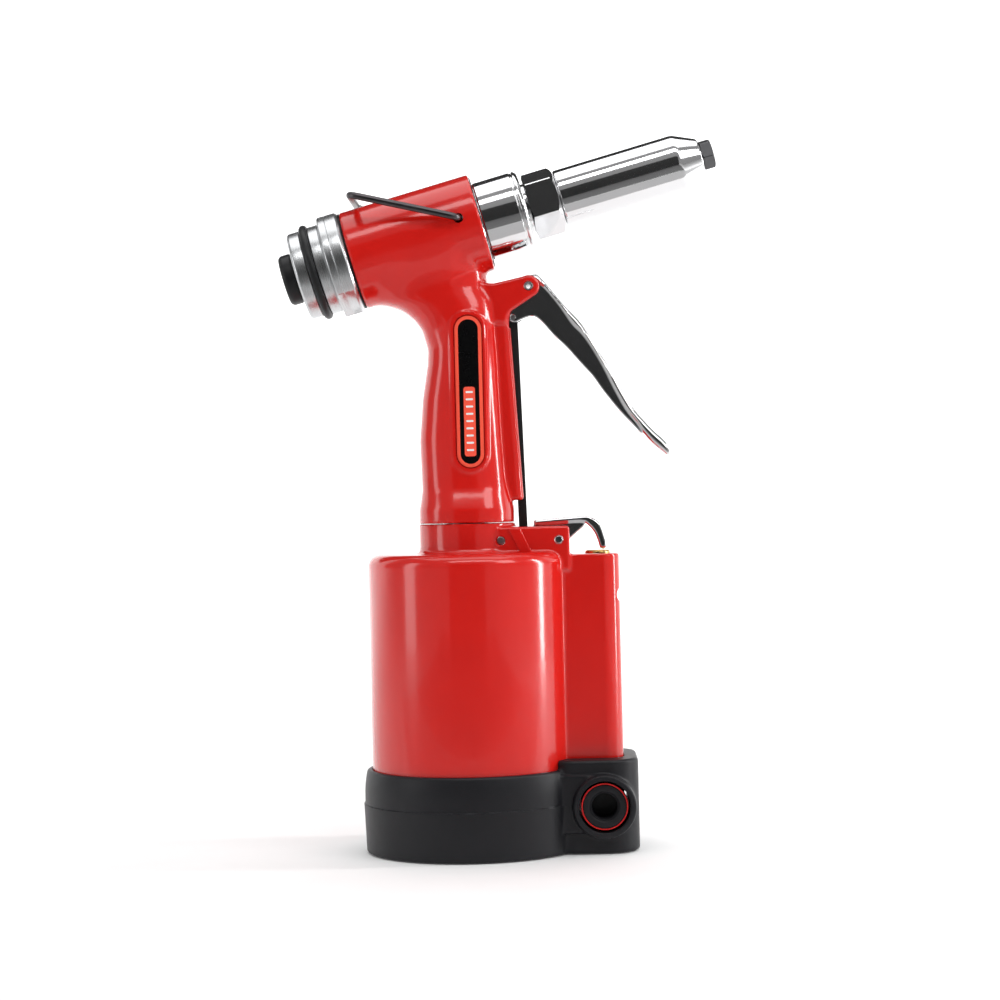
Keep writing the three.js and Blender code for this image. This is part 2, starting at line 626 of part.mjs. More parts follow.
// --------------------------------------------------------- inlet slide valve
function inletSlide() {
  const atInlet = (shape) => shape.translate([VALVE_X, 0, INLET_HEIGHT]);
  const shaftEnd = COLUMN_HALF_WIDTH + SPOOL_TRAVEL + 1;
  const ringSeat = SPOOL_HEAD_RADIUS - RED_RING_WIDTH;
  const grooveRadius = SPOOL_RADIUS - 1.4;
  const profile = [
    [0, -SPOOL_FACE + INLET_BORE_DEPTH],
    [INLET_BORE_RADIUS, -SPOOL_FACE + INLET_BORE_DEPTH],
    [INLET_BORE_RADIUS, -SPOOL_FACE + 0.7],
    [INLET_BORE_RADIUS + 0.7, -SPOOL_FACE],
    [ringSeat - SEAT_GAP, -SPOOL_FACE],
    [ringSeat - SEAT_GAP, -SPOOL_FACE + 1.4],
    [SPOOL_HEAD_RADIUS, -SPOOL_FACE + 1.4],
    [SPOOL_HEAD_RADIUS, -COLUMN_HALF_WIDTH - 0.6],
    [SPOOL_RADIUS, -COLUMN_HALF_WIDTH - 0.6],
  ];
  for (const middle of [-7, 7])
    profile.push(
      [SPOOL_RADIUS, middle - 1],
      [grooveRadius, middle - 1],
      [grooveRadius, middle + 1],
      [SPOOL_RADIUS, middle + 1],
    );
  profile.push([SPOOL_RADIUS, shaftEnd], [3.3, shaftEnd], [3.3, shaftEnd - 6], [0, shaftEnd - 6]);
  addPiece("inlet_spool", atInlet(lathe(profile, ROUND, "y")), BLACK_PLASTIC);
  addPiece(
    "spool_red_ring",
    atInlet(ring(ringSeat, SPOOL_HEAD_RADIUS, -SPOOL_FACE, -SPOOL_FACE + 1.1, ROUND, "y")),
    RED_PLASTIC,
  );
  for (const [name, middle] of [["spool_seal_right", -7], ["spool_seal_left", 7]])
    addPiece(name, atInlet(cordRing(SPOOL_RADIUS - 0.65, 0.7, middle, ROUND, "y")), BLACK_RUBBER);
  const capInner = shaftEnd + SEAT_GAP;
  addPiece(
    "spool_stop_cap",
    atInlet(
      lathe(
        [
          [0, shaftEnd - 5.5],
          [3, shaftEnd - 5.5],
          [3, capInner],
          [SPOOL_HEAD_RADIUS, capInner],
          [SPOOL_HEAD_RADIUS, SPOOL_FACE - 0.8],
          [SPOOL_HEAD_RADIUS - 0.8, SPOOL_FACE],
          [0, SPOOL_FACE],
        ],
        ROUND,
        "y",
      ),
    ),
    BLACK_PLASTIC,
  );
}

// -------------------------------------------------------------------- handle
// Level rings of the grip: [share of the handle's rise, back, front, half width].
const GRIP_RINGS = [
  [0, -FOOT_RADIUS - 0.1, FOOT_RADIUS, FOOT_RADIUS],
  [0.045, -FOOT_RADIUS, FOOT_RADIUS, FOOT_RADIUS],
  [0.08, -19.2, 19.2, 18.2],
  [0.112, -18.6, 18.4, GRIP_HALF_WIDTH + 0.6],
  [0.15, -18.7, 17.6, GRIP_HALF_WIDTH],
  [0.28, -19.1, 16.6, GRIP_HALF_WIDTH],
  [0.42, -17.6, 15.8, GRIP_HALF_WIDTH],
  [0.54, -15.2, 15.2, GRIP_HALF_WIDTH],
  [0.59, -14.9, 14.8, GRIP_HALF_WIDTH],
  [0.656, -17.2, 14.4, GRIP_HALF_WIDTH],
  [0.69, -20.1, 14.2, GRIP_HALF_WIDTH],
  [0.725, -25.2, 14, GRIP_HALF_WIDTH],
  [0.752, -32.5, 13.6, GRIP_HALF_WIDTH],
  [0.79, -36, 11, GRIP_HALF_WIDTH - 0.4],
  [0.9, -36, 8.9, GRIP_HALF_WIDTH - 1.2],
];

// The link bar's channel and the ridge follow the line between the two link pins.
function ridgeShape(halfWidth, back, front, low, high, frontRound) {
  const plan = outline([
    [back, -halfWidth],
    [front, -halfWidth, frontRound],
    [front, halfWidth, frontRound],
    [back, halfWidth],
  ]);
  return slab(plan, low - TRIGGER_LINK[1], high - TRIGGER_LINK[1])
    .rotate([0, -RIDGE_LEAN, 0])
    .translate([0, 0, TRIGGER_LINK[1]]);
}

function labelPocket(side, spread, inner, outer) {
  const radius = LABEL_WIDTH / 2 + spread;
  const [x, middle] = [2.5, SEAM + 0.44 * HANDLE_RISE];
  const straight = LABEL_LENGTH / 2 - LABEL_WIDTH / 2;
  const shape = new THREE.Shape();
  shape.absarc(x, middle + straight, radius, 0, Math.PI);
  shape.absarc(x, middle - straight, radius, Math.PI, 2 * Math.PI);
  return side < 0 ? plate(shape, -outer, -inner, 8) : plate(shape, inner, outer, 8);
}

function handleCasting() {
  const grip = loft(
    GRIP_RINGS.map(([share, ...rest]) => [SEAM + share * HANDLE_RISE, ...rest]),
    36,
  );
  const tube = onHead(bar(HEAD_RADIUS, HEAD_REAR, HEAD_FRONT, FINE, "x"));
  const ridge = ridgeShape(RIDGE_HALF_WIDTH, 5, 19.9, SEAM + 9, TRIGGER_PIVOT[1] - 8, 5);
  const [px, pz] = TRIGGER_PIVOT;
  const ears = join(
    plate(
      outline([
        [px - 20, pz + 8],
        [px - 18.6, pz + 2.4, 2],
        [px - 14.5, pz + 1.7, 2],
        [px - 1, pz + EAR_RADIUS - 0.1],
        [px + 2.6, pz - 3.9],
        [px - 7.8, pz - 10.4, 4],
        [px - 9, pz - 17],
        [px - 20, pz - 17],
      ]),
      -EAR_HALF_WIDTH,
      EAR_HALF_WIDTH,
    ),
    crossPin(TRIGGER_PIVOT, EAR_RADIUS, EAR_HALF_WIDTH, ROUND),
  );
  const trimFront = plate(rectangle(px - 12, px + 20, pz + 1, HEAD_HEIGHT), -30, 30);
  const trimmedGrip = cut(join(grip, ridge), trimFront.subtract(onHead(bar(60, -200, HEAD_FRONT, ROUND, "x"))));
  const channelBack = TRIGGER_LINK[0] - 6.2;
  const pocketFloor = GRIP_HALF_WIDTH - LABEL_DEPTH;
  return cut(
    join(trimmedGrip, tube, ears),
    onHead(bar(HEAD_BORE_RADIUS, HEAD_REAR - PAST, HEAD_FRONT + PAST, FINE, "x")),
    bar(OIL_TUBE_RADIUS + SEAT_GAP, SEAM - PAST, HEAD_HEIGHT - HEAD_RADIUS - 5.5, ROUND),
    bar(RAM_RADIUS, SEAM, HEAD_HEIGHT - HEAD_BORE_RADIUS + 2, ROUND),
    ridgeShape(CHANNEL_HALF_WIDTH, channelBack, 40, SEAM + 4, TRIGGER_LINK[1], 0),
    plate(
      rectangle(TRIGGER_LINK[0] - 6.2, px + 12, TRIGGER_LINK[1] - 4.5, pz + 9),
      -EAR_SLOT_HALF_WIDTH,
      EAR_SLOT_HALF_WIDTH,
    ),
    crossPin(TRIGGER_PIVOT, TRIGGER_PIN_RADIUS + PIN_PLAY, EAR_HALF_WIDTH + PAST),
    onHead(
      bar(BAIL_WIRE_RADIUS + 0.6, -HEAD_RADIUS - PAST, HEAD_RADIUS + PAST, SMALL, "y").translate([
        BAIL_PIVOT,
        0,
        BAIL_PIVOT_RISE,
      ]),
    ),
    labelPocket(-1, SEAT_GAP, pocketFloor, GRIP_HALF_WIDTH + 2),
    labelPocket(1, SEAT_GAP, pocketFloor, GRIP_HALF_WIDTH + 2),
  );
}

function labels() {
  const inner = GRIP_HALF_WIDTH - LABEL_DEPTH + SEAT_GAP;
  for (const [name, side] of [["label_right", -1], ["label_left", 1]])
    addPiece(name, labelPocket(side, 0, inner, inner + LABEL_THICKNESS), LABEL_INK);
}

// ------------------------------------------------------------ trigger linkage
function trigger() {
  const [px, pz] = TRIGGER_PIVOT;
  const at = (points) => points.map(([dx, dz]) => new THREE.Vector2(px + dx, pz + dz));
  const front = [[13.1, -6.1], [21.7, -15.8], [28.5, -27.2], [35.8, -40], [43.4, -52.8], [50.8, -61.3], [57, -67]];
  const back = [[41.6, -58.2], [30.3, -44.4], [20.9, -32.3], [10.3, -20.8]];
  const web = new THREE.Shape();
  web.moveTo(px - 2.6, pz + 3.6);
  web.quadraticCurveTo(px - 0.6, pz + 5, px + 1.2, pz + 5);
  web.lineTo(px + 3.9, pz + 5.1);
  web.splineThru(at(front));
  web.splineThru(at([[57.9, -70.2], [56.4, -72.2], [50.4, -67.4]]));
  web.splineThru(at(back));
  web.splineThru(at([[4.6, -14.2], [0.3, -12.5], [TAIL[0] + 1, TAIL[1] - 2]]));
  web.splineThru(at([[TAIL[0] - 1.4, TAIL[1] - 1.3], [TAIL[0] - 2, TAIL[1] + 0.6]]));
  web.lineTo(px - 4, pz - 2);
  web.closePath();
  const faceBack = [[50.8, -64.2], [39.6, -51.6], [34.2, -42.8], [25, -25], [12.6, -9.6]];
  const face = new THREE.Shape();
  face.moveTo(px + 5, pz + 3.8);
  face.splineThru(at(front));
  face.splineThru(at(faceBack));
  face.lineTo(px + 5.4, pz - 0.8);
  face.closePath();
  const fork = plate(
    rectangle(TRIGGER_LINK[0] - 5, TRIGGER_LINK[0] + 3.6, TRIGGER_LINK[1] - 5, TRIGGER_LINK[1] + 4.4),
    -FORK_HALF_GAP,
    FORK_HALF_GAP,
  );
  const across = TRIGGER_PLATE_HALF_WIDTH + PAST;
  return cut(
    join(
      plate(web, -TRIGGER_HALF_WIDTH, TRIGGER_HALF_WIDTH, 4),
      plate(face, -TRIGGER_PLATE_HALF_WIDTH, TRIGGER_PLATE_HALF_WIDTH, 3),
    ),
    fork,
    crossPin(TRIGGER_PIVOT, TRIGGER_PIN_RADIUS + PIN_PLAY, across),
    crossPin(TRIGGER_LINK, LINK_PIN_RADIUS + PIN_PLAY, across),
  );
}

// A rolled spring pin: a split tube.
function triggerPin() {
  const inner = 0.95;
  const split = plate(rectangle(0, 3, -0.35, 0.35), -EAR_HALF_WIDTH - 2, EAR_HALF_WIDTH + 2);
  const tube = ring(inner, TRIGGER_PIN_RADIUS, -EAR_HALF_WIDTH - 0.2, EAR_HALF_WIDTH + 0.2, SMALL, "y");
  return cut(tube, split).translate([TRIGGER_PIVOT[0], 0, TRIGGER_PIVOT[1]]);
}

function linkBar() {
  const lean = Math.atan2(ROCKER_LINK[0] - TRIGGER_LINK[0], TRIGGER_LINK[1] - ROCKER_LINK[1]);
  const length = Math.hypot(ROCKER_LINK[0] - TRIGGER_LINK[0], TRIGGER_LINK[1] - ROCKER_LINK[1]);
  const eyeRadius = 2.4;
  const straight = plate(
    rectangle(-LINK_BAR_DEPTH / 2, LINK_BAR_DEPTH / 2, -length, 0),
    -LINK_BAR_HALF_WIDTH,
    LINK_BAR_HALF_WIDTH,
  );
  const eye = (z, radius, half) => crossPin([0, z], radius, half);
  return cut(
    join(straight, eye(0, LINK_BAR_DEPTH / 2, LINK_BAR_HALF_WIDTH), eye(-length, eyeRadius, LINK_BAR_HALF_WIDTH)),
    eye(0, LINK_PIN_RADIUS + PIN_PLAY, LINK_BAR_HALF_WIDTH + PAST),
    eye(-length, LINK_PIN_RADIUS + LINK_PLAY, LINK_BAR_HALF_WIDTH + PAST),
  )
    .rotate([0, -lean / DEGREE, 0])
    .translate([TRIGGER_LINK[0], 0, TRIGGER_LINK[1]]);
}

// ------------------------------------------------------------------ head train
function rearOfHead() {
  const spigot = HEAD_BORE_RADIUS - SEAT_GAP;
  const tailBore = MANDREL_BORE_RADIUS + 2.6;
  const outletSeat = OUTLET_RADIUS - 2.2;
  const outletFloor = END_CAP_REAR + 0.6;
  const grooveHalf = BUMPER_THICKNESS / 2 + 0.2;
  const grooveRadius = BUMPER_RADIUS - BUMPER_THICKNESS - SEAT_GAP;
  const cap = lathe(
    [
      [tailBore, END_CAP_REAR + 8],
      [outletSeat + SEAT_GAP, END_CAP_REAR + 8],
      [outletSeat + SEAT_GAP, outletFloor],
      [OUTLET_RADIUS + SEAT_GAP, outletFloor],
      [OUTLET_RADIUS + SEAT_GAP, END_CAP_REAR],
      [END_CAP_FLANGE_RADIUS - 0.8, END_CAP_REAR],
      [END_CAP_FLANGE_RADIUS, END_CAP_REAR + 0.8],
      [END_CAP_FLANGE_RADIUS, BUMPER_CENTRE - grooveHalf],
      [grooveRadius, BUMPER_CENTRE - grooveHalf],
      [grooveRadius, BUMPER_CENTRE + grooveHalf],
      [END_CAP_NECK_RADIUS, BUMPER_CENTRE + grooveHalf],
      [END_CAP_NECK_RADIUS, END_CAP_FRONT - 9],
      [END_CAP_RADIUS - 0.4, END_CAP_FRONT - 9],
      [END_CAP_RADIUS, END_CAP_FRONT - 8.6],
      [END_CAP_RADIUS, END_CAP_FRONT - 1.2],
      [END_CAP_RADIUS - 1.2, END_CAP_FRONT],
      [spigot, END_CAP_FRONT],
      [spigot, HEAD_REAR + 6],
      [tailBore, HEAD_REAR + 6],
      [tailBore, END_CAP_REAR + 8],
    ],
    FINE,
    "x",
  );
  const flatAt = END_CAP_NECK_RADIUS;
  const flats = [68.5, 248.5].map((angle) =>
    slab(rectangle(END_CAP_FRONT - 9.5, END_CAP_FRONT - 1.6, -30, 30), -40, -flatAt).rotate([angle - 90, 0, 0]),
  );
  addPiece("rear_end_cap", cut(cap, ...flats), SATIN_ALUMINIUM, head);
  addPiece(
    "rear_gasket",
    ring(HEAD_BORE_RADIUS + 0.4, HEAD_RADIUS - 0.2, HEAD_REAR - WASHER_THICKNESS, HEAD_REAR - 0.15, FINE, "x"),
    BLACK_RUBBER,
    head,
  );
  addPiece(
    "rear_bumper_ring",
    cordRing(BUMPER_RADIUS - BUMPER_THICKNESS / 2, BUMPER_THICKNESS / 2, BUMPER_CENTRE, FINE, "x"),
    BLACK_RUBBER,
    head,
  );
  addPiece(
    "mandrel_outlet",
    lathe(
      [
        [OUTLET_BORE_RADIUS + 0.8, END_CAP_REAR - OUTLET_LENGTH],
        [OUTLET_RADIUS - 1.1, END_CAP_REAR - OUTLET_LENGTH],
        [OUTLET_RADIUS, END_CAP_REAR - OUTLET_LENGTH + 1.2],
        [OUTLET_RADIUS, outletFloor - SEAT_GAP],
        [outletSeat, outletFloor - SEAT_GAP],
        [outletSeat, END_CAP_REAR + 7.4],
        [OUTLET_BORE_RADIUS, END_CAP_REAR + 7.4],
        [OUTLET_BORE_RADIUS, END_CAP_REAR - OUTLET_LENGTH + 0.8],
        [OUTLET_BORE_RADIUS + 0.8, END_CAP_REAR - OUTLET_LENGTH],
      ],
      ROUND,
      "x",
    ),
    BLACK_RUBBER,
    head,
  );
}

function frontOfHead() {
  const spigot = HEAD_BORE_RADIUS - SEAT_GAP;
  const rodBore = PULL_ROD_RADIUS + SLIDE_PLAY;
  const threadRadius = SLEEVE_RADIUS - 0.6;
  const sleeveBore = SLEEVE_RADIUS - SLEEVE_WALL;
  const caseBore = CASE_RADIUS + SLIDE_PLAY;
  addPiece(
    "front_gasket",
    ring(HEAD_BORE_RADIUS + 0.4, HEAD_RADIUS - 1.4, HEAD_FRONT + 0.15, HEAD_FRONT + WASHER_THICKNESS, FINE, "x"),
    BLACK_RUBBER,
    head,
  );
  addPiece(
    "front_collar",
    lathe(
      [
        [rodBore, HEAD_FRONT - 8],
        [spigot, HEAD_FRONT - 8],
        [spigot, HEAD_FRONT + WASHER_THICKNESS - 0.5],
        [COLLAR_RADIUS - 0.6, COLLAR_START],
        [COLLAR_RADIUS, COLLAR_START + 0.6],
        [COLLAR_RADIUS, COLLAR_END - 1],
        [COLLAR_RADIUS - 1, COLLAR_END],
        [threadRadius - 1, COLLAR_END],
        [threadRadius - 1, NUT_END - 1],
        [caseBore, NUT_END - 1],
        [caseBore, CASE_REAR - HEAD_STROKE - 1],
        [rodBore, CASE_REAR - HEAD_STROKE - 1],
        [rodBore, HEAD_FRONT - 8],
      ],
      FINE,
      "x",
    ),
    CHROME,
    head,
  );
  addPiece(
    "front_lock_nut",
    hexNut(NUT_FLATS / 2 / Math.cos(30 * DEGREE), threadRadius - 1 + SEAT_GAP, NUT_START, NUT_END, -24.2),
    CHROME,
    head,
  );
  addPiece(
    "nose_sleeve",
    lathe(
      [
        [sleeveBore, SLEEVE_START],
        [SLEEVE_RADIUS - 0.5, SLEEVE_START],
        [SLEEVE_RADIUS, SLEEVE_START + 0.5],
        [SLEEVE_RADIUS, CONE_START - 0.6],
        [SLEEVE_RADIUS - 0.3, CONE_START],
        [CONE_END_RADIUS, CONE_END - 0.4],
        [CONE_END_RADIUS - 0.6, CONE_END],
        [4.6, CONE_END],
        [4.6, CONE_START + 1],
        [sleeveBore, CONE_START - 4],
        [sleeveBore, SLEEVE_START],
      ],
      ROUND,
      "x",
    ),
    CHROME,
    head,
  );
  const tipBody = cut(
    join(
      hexNut(TIP_CORNER_RADIUS, 0, CONE_END + SEAT_GAP, TIP_END, -15),
      bar(4.3, CONE_START - 2, CONE_END + 1, SMALL, "x"),
    ),
    bar(TIP_BORE_RADIUS, CONE_START - 3, TIP_END + PAST, SMALL, "x"),
  );
  addPiece("nosepiece", tipBody, DARK_STEEL, head);
}

// A hexagon along the head's axis, its front corners turned down to a cone.
function hexNut(cornerRadius, boreRadius, low, high, turn) {
  const hexagon = new THREE.Shape();
  for (let i = 0; i < 6; i++) {
    const angle = (60 * i + turn) * DEGREE;
    hexagon[i ? "lineTo" : "moveTo"](cornerRadius * Math.cos(angle), cornerRadius * Math.sin(angle));
  }
  hexagon.closePath();
  const prism = slab(hexagon, low, high).rotate([0, 90, 0]);
  const reach = cornerRadius * 0.14;
  const envelope = lathe(
    [
      [0, low],
      [cornerRadius * 0.97, low],
      [cornerRadius, low + reach * 0.4],
      [cornerRadius + 0.01, high - reach],
      [cornerRadius * 0.87, high],
      [0, high],
    ],
    FINE,
    "x",
  );
  const nut = prism.intersect(envelope);
  return boreRadius > 0 ? cut(nut, bar(boreRadius, low - PAST, high + PAST, ROUND, "x")) : nut;
}

// Everything that draws back with the hydraulic piston.
function pullTrain() {
  const pistonFront = -9;
  const pistonRear = pistonFront - 7;
  const pistonRadius = HEAD_BORE_RADIUS - SLIDE_PLAY;
  const tailRadius = MANDREL_BORE_RADIUS + 1.3;
  const grooveMiddle = (pistonFront + pistonRear) / 2;
  addPiece(
    "pull_piston",
    lathe(
      [
        [MANDREL_BORE_RADIUS, END_CAP_REAR + 10],
        [tailRadius, END_CAP_REAR + 10],
        [tailRadius, pistonRear],
        [pistonRadius, pistonRear],
        [pistonRadius, grooveMiddle - 1.6],
        [pistonRadius - 3, grooveMiddle - 1.6],
        [pistonRadius - 3, grooveMiddle + 1.6],
        [pistonRadius, grooveMiddle + 1.6],
        [pistonRadius, pistonFront],
        [PULL_ROD_RADIUS, pistonFront],
        [PULL_ROD_RADIUS, ROD_FRONT],
        [PULL_ROD_RADIUS - 2, ROD_FRONT],
        [PULL_ROD_RADIUS - 2, ROD_FRONT + 6],
        [MANDREL_BORE_RADIUS, ROD_FRONT + 6],
        [MANDREL_BORE_RADIUS, END_CAP_REAR + 10],
      ],
      ROUND,
      "x",
    ),
    STEEL,
    head,
  );
  addPiece(
    "pull_piston_seal",
    cordRing(pistonRadius - 1.35, 1.4, grooveMiddle, FINE, "x"),
    BLACK_RUBBER,
    head,
  );
  const caseFront = CONE_START - 6;
  const slope = Math.tan(JAW_CONE_ANGLE * DEGREE);
  const coneRear = caseFront - 20;
  const coneRadius = (t) => 4 + (caseFront - t) * slope;
  addPiece(
    "jaw_case",
    lathe(
      [
        [PULL_ROD_RADIUS - 2 + SEAT_GAP, CASE_REAR],
        [CASE_RADIUS, CASE_REAR],
        [CASE_RADIUS, caseFront - 1],
        [CASE_RADIUS - 1, caseFront],
        [coneRadius(caseFront), caseFront],
        [coneRadius(coneRear), coneRear],
        [coneRadius(coneRear), ROD_FRONT + 7],
        [PULL_ROD_RADIUS - 2 + SEAT_GAP, ROD_FRONT + 7],
        [PULL_ROD_RADIUS - 2 + SEAT_GAP, CASE_REAR],
      ],
      ROUND,
      "x",
    ),
    STEEL,
    head,
  );
  // Each jaw is half of a cone, held off the case and off the other jaw.
  const jawFront = caseFront - 3;
  const jawRear = coneRear + 3;
  const jawRadius = (t) => coneRadius(t) - 0.5;
  const cone = lathe(
    [[0, jawRear], [jawRadius(jawRear), jawRear], [jawRadius(jawFront), jawFront], [0, jawFront]],
    ROUND,
    "x",
  ).subtract(bar(1.5, jawRear - PAST, jawFront + PAST, SMALL, "x"));
  for (const [name, side] of [["jaw_upper", 1], ["jaw_lower", -1]]) {
    const keep = slab(rectangle(jawRear - PAST, jawFront + PAST, -12, 12), 0.6, 12);
    addPiece(name, cone.intersect(side > 0 ? keep : keep.rotate([180, 0, 0])), DARK_STEEL, head);
  }
  const pusherFront = jawRear - SEAT_GAP;
  const pusherRadius = coneRadius(pusherFront + JAW_TRAVEL) - SLIDE_PLAY;
  addPiece(
    "jaw_pusher",
    ring(MANDREL_BORE_RADIUS, pusherRadius, pusherFront - 4, pusherFront, ROUND, "x"),
    BRASS,
    head,
  );
  const springRear = ROD_FRONT + 7.3;
  addPiece(
    "jaw_spring",
    spring(5.6, 0.6, springRear, pusherFront - 4 - SEAT_GAP, 4).rotate([0, 90, 0]),
    STEEL,
    head,
  );
}

// ---------------------------------------------------------------- hanger bail
function hangerBail() {
  const side = HEAD_RADIUS + BAIL_SIDE_GAP + BAIL_WIRE_RADIUS;
  const inside = HEAD_BORE_RADIUS + 1.2;
  const stations = [
    new THREE.Vector3(0, -inside, 0),
    new THREE.Vector3(0, -side, 0),
    new THREE.Vector3(-BAIL_REACH, -side, 0),
    new THREE.Vector3(-BAIL_REACH, side, 0),
    new THREE.Vector3(0, side, 0),
    new THREE.Vector3(0, inside, 0),
  ];
  const bends = [];
  const firstBend = 2.4;
  for (let i = 1; i < stations.length - 1; i++) {
    const bend = i === 1 || i === stations.length - 2 ? firstBend : BAIL_BEND;
    const toward = (end) => stations[i].clone().lerp(end, bend / stations[i].distanceTo(end));
    bends.push([toward(stations[i - 1]), stations[i], toward(stations[i + 1])]);
  }
  const path = new THREE.CurvePath();
  let last = stations[0];
  for (const [start, middle, end] of bends) {
    path.add(new THREE.LineCurve3(last, start));
    path.add(new THREE.QuadraticBezierCurve3(start, middle, end));
    last = end;
  }
  path.add(new THREE.LineCurve3(last, stations.at(-1)));
  const section = new THREE.Shape().absarc(0, 0, BAIL_WIRE_RADIUS, 0, 2 * Math.PI);
  const wire = solid(new THREE.ExtrudeGeometry(section, { steps: 56, extrudePath: path, curveSegments: 4 }));
  return wire.rotate([0, BAIL_ANGLE, 0]).translate([BAIL_PIVOT, 0, BAIL_PIVOT_RISE]);
}

// ------------------------------------------------------------------ assembly
addPiece("base_boot", baseBoot(), BLACK_PLASTIC);
addPiece("air_cylinder", airCylinder(), RED_PAINT);
powerTrain();
throttleValve();
rockerLever();
inletSlide();
addPiece("handle_casting", handleCasting(), RED_PAINT);
labels();
addPiece("trigger", trigger(), CHROME);
addPiece("trigger_pin", triggerPin(), CHROME);
addPiece("trigger_link_pin", crossPin(TRIGGER_LINK, LINK_PIN_RADIUS, TRIGGER_HALF_WIDTH - 0.1), STEEL);
addPiece("link_bar", linkBar(), DARK_STEEL);
rearOfHead();
frontOfHead();
pullTrain();
addPiece("hanger_bail", hangerBail(), DARK_STEEL, head);

export default rivetGun;
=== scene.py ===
"""A pneumatic rivet gun on a pale studio floor: the castings, polished parts and mouldings."""

import json
import math

import bmesh
import bpy
import numpy as np
from mathutils import Matrix, Vector


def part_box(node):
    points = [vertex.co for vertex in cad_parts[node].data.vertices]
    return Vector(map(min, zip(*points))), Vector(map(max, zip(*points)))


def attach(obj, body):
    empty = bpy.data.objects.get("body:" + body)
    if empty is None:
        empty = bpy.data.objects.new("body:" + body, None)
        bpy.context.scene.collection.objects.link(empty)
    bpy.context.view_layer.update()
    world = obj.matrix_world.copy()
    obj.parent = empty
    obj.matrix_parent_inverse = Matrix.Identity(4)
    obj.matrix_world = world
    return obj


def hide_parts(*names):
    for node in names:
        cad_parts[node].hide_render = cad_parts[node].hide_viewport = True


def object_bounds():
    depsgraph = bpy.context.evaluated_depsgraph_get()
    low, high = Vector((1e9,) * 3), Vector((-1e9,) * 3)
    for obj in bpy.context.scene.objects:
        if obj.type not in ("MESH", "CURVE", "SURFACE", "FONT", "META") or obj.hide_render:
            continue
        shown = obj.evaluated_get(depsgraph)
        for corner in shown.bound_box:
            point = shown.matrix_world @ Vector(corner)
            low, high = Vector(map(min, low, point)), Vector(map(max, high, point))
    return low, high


bl_info = {
    "name": "Pneumatic Rivet Gun",
    "version": (1, 0, 0),
    "blender": (4, 5, 0),
    "location": "3D View > Sidebar > Rivet Gun",
    "description": "Builds the visible pieces of a pneumatic rivet gun round its packed frame",
    "category": "Object",
}

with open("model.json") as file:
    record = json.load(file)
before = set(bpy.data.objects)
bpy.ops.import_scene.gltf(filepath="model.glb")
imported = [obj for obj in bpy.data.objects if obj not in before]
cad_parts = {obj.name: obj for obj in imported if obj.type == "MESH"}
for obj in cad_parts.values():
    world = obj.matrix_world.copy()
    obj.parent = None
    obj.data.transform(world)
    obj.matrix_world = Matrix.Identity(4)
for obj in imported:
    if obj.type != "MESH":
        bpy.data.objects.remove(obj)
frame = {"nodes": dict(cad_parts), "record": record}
CAD_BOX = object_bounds()
MM = 0.001

LOW, HIGH = 0, 1
X, Y, Z = 0, 1, 2


def edge(node, corner, axis):
    """Where a node's box ends along an axis, in millimetres."""
    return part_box(node)[corner][axis] / MM


def centre_of(node, axis):
    return (edge(node, LOW, axis) + edge(node, HIGH, axis)) / 2


def pin_place(node):
    """The (x, z) of a pin that crosses the tool."""
    return [centre_of(node, axis) for axis in (X, Z)]


# Places read off the frame, in millimetres.
CYLINDER_RADIUS = edge("air_cylinder", HIGH, Y)
CYLINDER_FOOT = edge("air_cylinder", LOW, Z)
NECK_TOP = edge("air_cylinder", HIGH, Z)
COLUMN_END = edge("air_cylinder", HIGH, X)
SEAM = edge("handle_casting", LOW, Z)
HEAD_RADIUS = edge("handle_casting", HIGH, Y)
BOOT_TOP = edge("base_boot", HIGH, Z)
BOOT_END = edge("base_boot", HIGH, X)
VALVE_X = centre_of("valve_plunger", X)
PLUNGER_TOP = edge("valve_plunger", HIGH, Z)
INLET_Z = centre_of("inlet_spool", Z)
SPOOL_FACE = edge("inlet_spool", LOW, Y)
TRIGGER_PIVOT = pin_place("trigger_pin")
TRIGGER_LINK = pin_place("trigger_link_pin")
ROCKER_PIVOT = pin_place("rocker_pin")
ROCKER_LINK = pin_place("rocker_link_pin")
NECK_LOCK = (14.2, ROCKER_PIVOT[1])
# What the frame's boxes don't say.
HANDLE_RISE = 123.5
NECK_HEIGHT = 12.2
PLUNGER_PROUD = 1.3
HEAD_TILT = math.radians(15.3)
BAIL_PIVOT = (0.4, 2.1)  # along and above the head's axis
HEAD_HEIGHT = SEAM + HANDLE_RISE
CYLINDER_TOP = NECK_TOP - NECK_HEIGHT
COLUMN_TOP = PLUNGER_TOP - PLUNGER_PROUD
HEAD_AXIS = Matrix.Translation((0, 0, HEAD_HEIGHT)) @ Matrix.Rotation(-HEAD_TILT, 4, "Y")
UPRIGHT_TO_HEAD = HEAD_AXIS @ Matrix.Rotation(math.radians(90), 4, "Y")
# Radii of the holes that take the pins and of what passes through the castings.
PIVOT_HOLE, ROCKER_HOLE, LINK_HOLE = 1.9, 1.85, 1.15
TUBE_HOLE = 9.3
NO_MOVE = Matrix.Identity(4)


